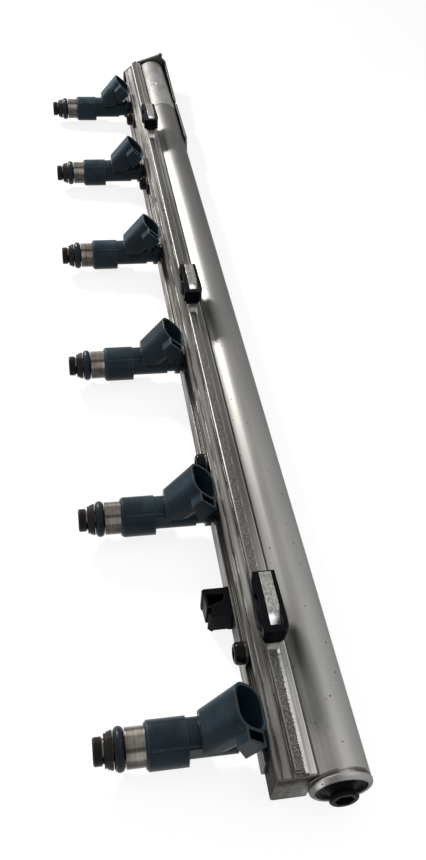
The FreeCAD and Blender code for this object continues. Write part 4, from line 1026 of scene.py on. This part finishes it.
def repeated(name, tree_and_names, places, edges, form, settings):
    """A plain mesh of the copies of a form, at places given in metres."""
    tree, names = tree_and_names
    row = bpy.data.meshes.new(name + "_row")
    row.from_pydata(places, edges, [])
    carrier = bpy.data.objects.new(name + "_row", row)
    scene.collection.objects.link(carrier)
    modifier = carrier.modifiers.new("repeat", "NODES")
    modifier.node_group = tree
    for title, value in {"Form": form, **settings}.items():
        modifier[names[title]] = value
    bpy.context.view_layer.update()
    evaluated = carrier.evaluated_get(bpy.context.evaluated_depsgraph_get())
    mesh = bpy.data.meshes.new_from_object(evaluated)
    mesh.name = name
    piece = bpy.data.objects.new(name, mesh)
    scene.collection.objects.link(piece)
    carrier.modifiers.remove(modifier)
    bpy.data.objects.remove(carrier)
    bpy.data.objects.remove(form)
    return piece


print("repeat helpers ready")

# %% [markdown]
# ## Retainer screws
# Each screw is a stack of rings: the shank, a head with a rounded shoulder, and a six-sided socket, whose
# rings have as many points as the round ones but lie on a hexagon. The rounding is a quarter circle. The
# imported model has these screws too, and this piece takes their place for the shading of its heads.

# %% Screw form
SCREW_SIDES = 48
SHANK_RADIUS = 1.9
SHANK_LENGTH = 7.0
HEAD_RADIUS = 4.0
HEAD_HEIGHT = 3.8
HEAD_ROUND = 1.5
HEAD_ROUND_STEPS = 6
SOCKET_RADIUS = 2.5
SOCKET_DEPTH = 1.7
SOCKET_LEAD_IN = 0.15


def screw_ring(y, radius, six_sided=False):
    """A ring of points round the screw's axis, on a circle or on a hexagon."""
    points = []
    for k in range(SCREW_SIDES):
        angle = math.tau * k / SCREW_SIDES
        reach = radius
        if six_sided:
            reach = radius * math.cos(math.pi / 6) / math.cos(angle % (math.pi / 3) - math.pi / 6)
        points.append((reach * math.cos(angle), y, reach * math.sin(angle)))
    return points


def shoulder_ring(step):
    """A ring of the head's rounded shoulder, a quarter circle in even steps."""
    angle = math.pi / 2 * step / HEAD_ROUND_STEPS
    return screw_ring(HEAD_ROUND - HEAD_HEIGHT - HEAD_ROUND * math.sin(angle),
                      HEAD_RADIUS - HEAD_ROUND * (1 - math.cos(angle)))


shank = [screw_ring(SHANK_LENGTH, SHANK_RADIUS), screw_ring(0, SHANK_RADIUS)]
head = [screw_ring(0, HEAD_RADIUS)] + [shoulder_ring(step) for step in range(HEAD_ROUND_STEPS + 1)]
socket = [screw_ring(-HEAD_HEIGHT, SOCKET_RADIUS + SOCKET_LEAD_IN, six_sided=True),
          screw_ring(SOCKET_LEAD_IN - HEAD_HEIGHT, SOCKET_RADIUS, six_sided=True),
          screw_ring(SOCKET_DEPTH - HEAD_HEIGHT, SOCKET_RADIUS, six_sided=True)]
screw_form = form_object("screw_form", shank + head + socket)
print("screw of", len(shank + head + socket), "rings")

# %% Screws in the strip
SCREW_PLACES = (-213.9, -121.8, 121.8, 213.9)
SCREW_SEAT_Y = -7.1
SCREW_Z = 13.6
screws = repeated("retainer_screws_dressed", at_points,
                  [(x * MM, SCREW_SEAT_Y * MM, SCREW_Z * MM) for x in SCREW_PLACES], [], screw_form,
                  {"Finish": finishes["screw_black"], "Spread": (0, 0, 0), "Turn": (0, math.pi / 6, 0),
                   "Smallest": 1.0, "Seed": 4})
screws.data.shade_smooth()
screws.data.set_sharp_from_angle(angle=SMOOTH_UNDER)
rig.replaces(screws, "retainer_screws")
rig.slot(screws, "screw_black")
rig.ride(screws, "root")
print("screws:", len(SCREW_PLACES), "triangles about", sum(len(p.vertices) - 2 for p in screws.data.polygons))

# %% [markdown]
# ## Marks on the milled ridge
# The cutter left curved marks across the ridge and pushed a ragged burr to its back edge. The ridge runs in
# four stretches between the tongues, so each stretch is one edge, and the marks stand at even steps along
# it. They are a few hundredths of a millimetre high, so they catch light without changing the size. The burr
# is made of bright flakes only on the stretch nearest the camera, and elsewhere it is the pale band in the
# material.

# %% Stretches of the ridge
TONGUE_MIDDLE_X = 13.4
TONGUE_PITCH = 2 * INJECTOR_PITCH
CLEAR_OF_TONGUE = (12.0, 14.5)
RIDGE_ENDS_X = (-293.0, 261.2)
middles = [TONGUE_MIDDLE_X + side * TONGUE_PITCH for side in (-1, 0, 1)]
tongue_sides = [x for middle in middles for x in (middle - CLEAR_OF_TONGUE[0], middle + CLEAR_OF_TONGUE[1])]
stretch_ends = [RIDGE_ENDS_X[0], *tongue_sides, RIDGE_ENDS_X[1]]
stretches = list(zip(stretch_ends[0::2], stretch_ends[1::2]))


def ridge_row(y, spans):
    """The points and edges of stretches of the ridge at one place across it, in metres."""
    points = [(x * MM, y * MM, RIDGE_TOP * MM) for span in spans for x in span]
    return points, [(2 * k, 2 * k + 1) for k in range(len(spans))]


print("stretches:", [(round(start), round(end)) for start, end in stretches])

# %% Cutter marks
MARK_CURVE = 9.0
MARK_HALF_WIDTH = 0.16
MARK_HEIGHT = 0.05
MARK_FOOT = -0.02
MARK_START_Y = -0.3
MARK_LENGTH = 2.6
MARK_STEPS = 6


def mark_ring(step):
    """A three-sided slice of a mark, whose place along the rail follows the cutter's curve."""
    across = MARK_START_Y + MARK_LENGTH * step / MARK_STEPS
    along = -across * across / (2 * MARK_CURVE)
    return [(along - MARK_HALF_WIDTH, across, MARK_FOOT), (along, across, MARK_HEIGHT),
            (along + MARK_HALF_WIDTH, across, MARK_FOOT)]


mark_form = form_object("mark_form", [mark_ring(step) for step in range(MARK_STEPS + 1)])
marks = repeated("ridge_cutter_marks", along_edges, *ridge_row(0.0, stretches), mark_form,
                 {"Finish": finishes["rail_aluminium"], "Step": 1.15 * MM,
                  "Spread": (0.25 * MM, 0.05 * MM, 0), "Turn": (0, 0, 0.12), "Smallest": 0.8, "Seed": 11})
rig.slot(marks, "rail_aluminium")
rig.ride(marks, "root")
print("marks:", len(marks.data.polygons), "faces")

# %% Burr flakes
FLAKE_BACK_Y = 3.72
FLAKE_FOOT = [(-0.42, 0.0, -0.1), (0.42, 0.0, -0.1), (0.36, -1.5, -0.1), (-0.36, -1.3, -0.1)]
FLAKE_TOP = [(-0.40, -0.03, 0.05), (0.40, -0.03, 0.05), (0.34, -1.4, 0.04), (-0.34, -1.2, 0.04)]
flake_form = form_object("flake_form", [FLAKE_FOOT, FLAKE_TOP])
burr_flakes = repeated("ridge_burr", along_edges, *ridge_row(FLAKE_BACK_Y, stretches[-1:]), flake_form,
                       {"Finish": burr_metal, "Step": 0.4 * MM, "Spread": (0.1 * MM, 0.02 * MM, 0.02 * MM),
                        "Turn": (0.03, 0.03, 0.1), "Smallest": 0.75, "Seed": 23})
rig.slot(burr_flakes, "rail_aluminium")
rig.ride(burr_flakes, "root")
print("flakes:", len(burr_flakes.data.polygons), "faces")

# %% [markdown]
# ## Floor, backdrop and light
# The part lies on a white floor, which catches its shadow; for rays from the camera it adds a white
# glow, so the picture's ground stays white without flooding the metal with light. Mirrors and clear things
# see the glow too. One small lamp stands beyond the far end and a little to the injector side: it rakes
# along the tube, and the clips throw the curved shadows that run towards the camera. A weak wide lamp
# above the back lifts the shadows, and the world fills in softly from everywhere.

# %% Floor
WHITE = rgb(1.0, 1.0, 1.0)
FLOOR_FAR_PAINT = rgb(0.11, 0.11, 0.11)
FLOOR_NEAR_PAINT = rgb(0.32, 0.32, 0.32)
FLOOR_PAINT_FROM_X = (-350.0, 300.0)
FLOOR_GLOW = 0.85
FLOOR_HALF = 4.0


def seen_in_picture(tree):
    """1 for rays from the camera, from mirrors and through clear things, 0 for light on the part."""
    path = put(tree, "ShaderNodeLightPath").outputs
    seen = math_node(tree, "MAXIMUM", path["Is Camera Ray"], path["Is Glossy Ray"])
    return math_node(tree, "MAXIMUM", seen, path["Is Transmission Ray"])


def floor_finish():
    """A white floor: grey and matt for light, with a white glow in the picture."""
    material, tree = empty_material("floor_white")
    nearness = fade(tree, axes(tree, place(tree))[0], *FLOOR_PAINT_FROM_X)
    grey = mix_colour(tree, nearness, FLOOR_FAR_PAINT, FLOOR_NEAR_PAINT)
    paint = put(tree, "ShaderNodeBsdfDiffuse", {"Color": grey})
    strength = times(tree, seen_in_picture(tree), FLOOR_GLOW)
    glow = put(tree, "ShaderNodeEmission", {"Color": WHITE, "Strength": strength})
    both = put(tree, "ShaderNodeAddShader", {0: paint.outputs[0], 1: glow.outputs[0]})
    put(tree, "ShaderNodeOutputMaterial", {"Surface": both.outputs[0]})
    return material


floor_mesh = bpy.data.meshes.new("floor")
corners = [(x * FLOOR_HALF, y * FLOOR_HALF, 0) for x, y in ((-1, -1), (1, -1), (1, 1), (-1, 1))]
floor_mesh.from_pydata(corners, [], [(0, 1, 2, 3)])
floor_mesh.materials.append(floor_finish())
floor = bpy.data.objects.new("floor", floor_mesh)
scene.collection.objects.link(floor)
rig.stage(floor)
print("floor half side", FLOOR_HALF, "m")

# %% World
ROOM_FILL = {"Color": rgb(0.93, 0.96, 1.0), "Strength": 0.45}
world = bpy.data.worlds.new("soft_room")
scene.world = world
world.use_nodes = True
world_tree = world.node_tree
world_tree.nodes.clear()
fill = put(world_tree, "ShaderNodeBackground", ROOM_FILL)
white = put(world_tree, "ShaderNodeBackground", {"Color": WHITE, "Strength": 1.0})
choice = put(world_tree, "ShaderNodeMixShader", {0: seen_in_picture(world_tree), 1: fill.outputs[0],
                                                 2: white.outputs[0]})
put(world_tree, "ShaderNodeOutputWorld", {"Surface": choice.outputs[0]})
print("room fill", ROOM_FILL["Strength"])

# %% Lamps
def lamp(name, at, aim, size, watts, colour=(1, 1, 1)):
    """A square soft lamp that looks at a point, with both places and its size in millimetres."""
    data = bpy.data.lights.new(name, "AREA")
    data.size = size * MM
    data.energy = watts
    data.color = colour
    made = bpy.data.objects.new(name, data)
    made.location = Vector(at) * MM
    made.rotation_euler = (Vector(aim) - Vector(at)).to_track_quat("-Z", "Y").to_euler()
    scene.collection.objects.link(made)
    return made


key = lamp("key_lamp", at=(-600, -334, 412), aim=(-50, 10, 15), size=110, watts=8.5, colour=(1.0, 0.98, 0.95))
top = lamp("top_lamp", at=(120, 500, 900), aim=(0, 0, 0), size=700, watts=1.5)
print("lamps:", key.name, top.name)

scene.view_settings.view_transform = "Standard"
with open("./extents.json", "w") as out:
    json.dump({"cad": cad_box, "visual": [list(corner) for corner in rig.bounds()]}, out)
print(open("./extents.json").read())
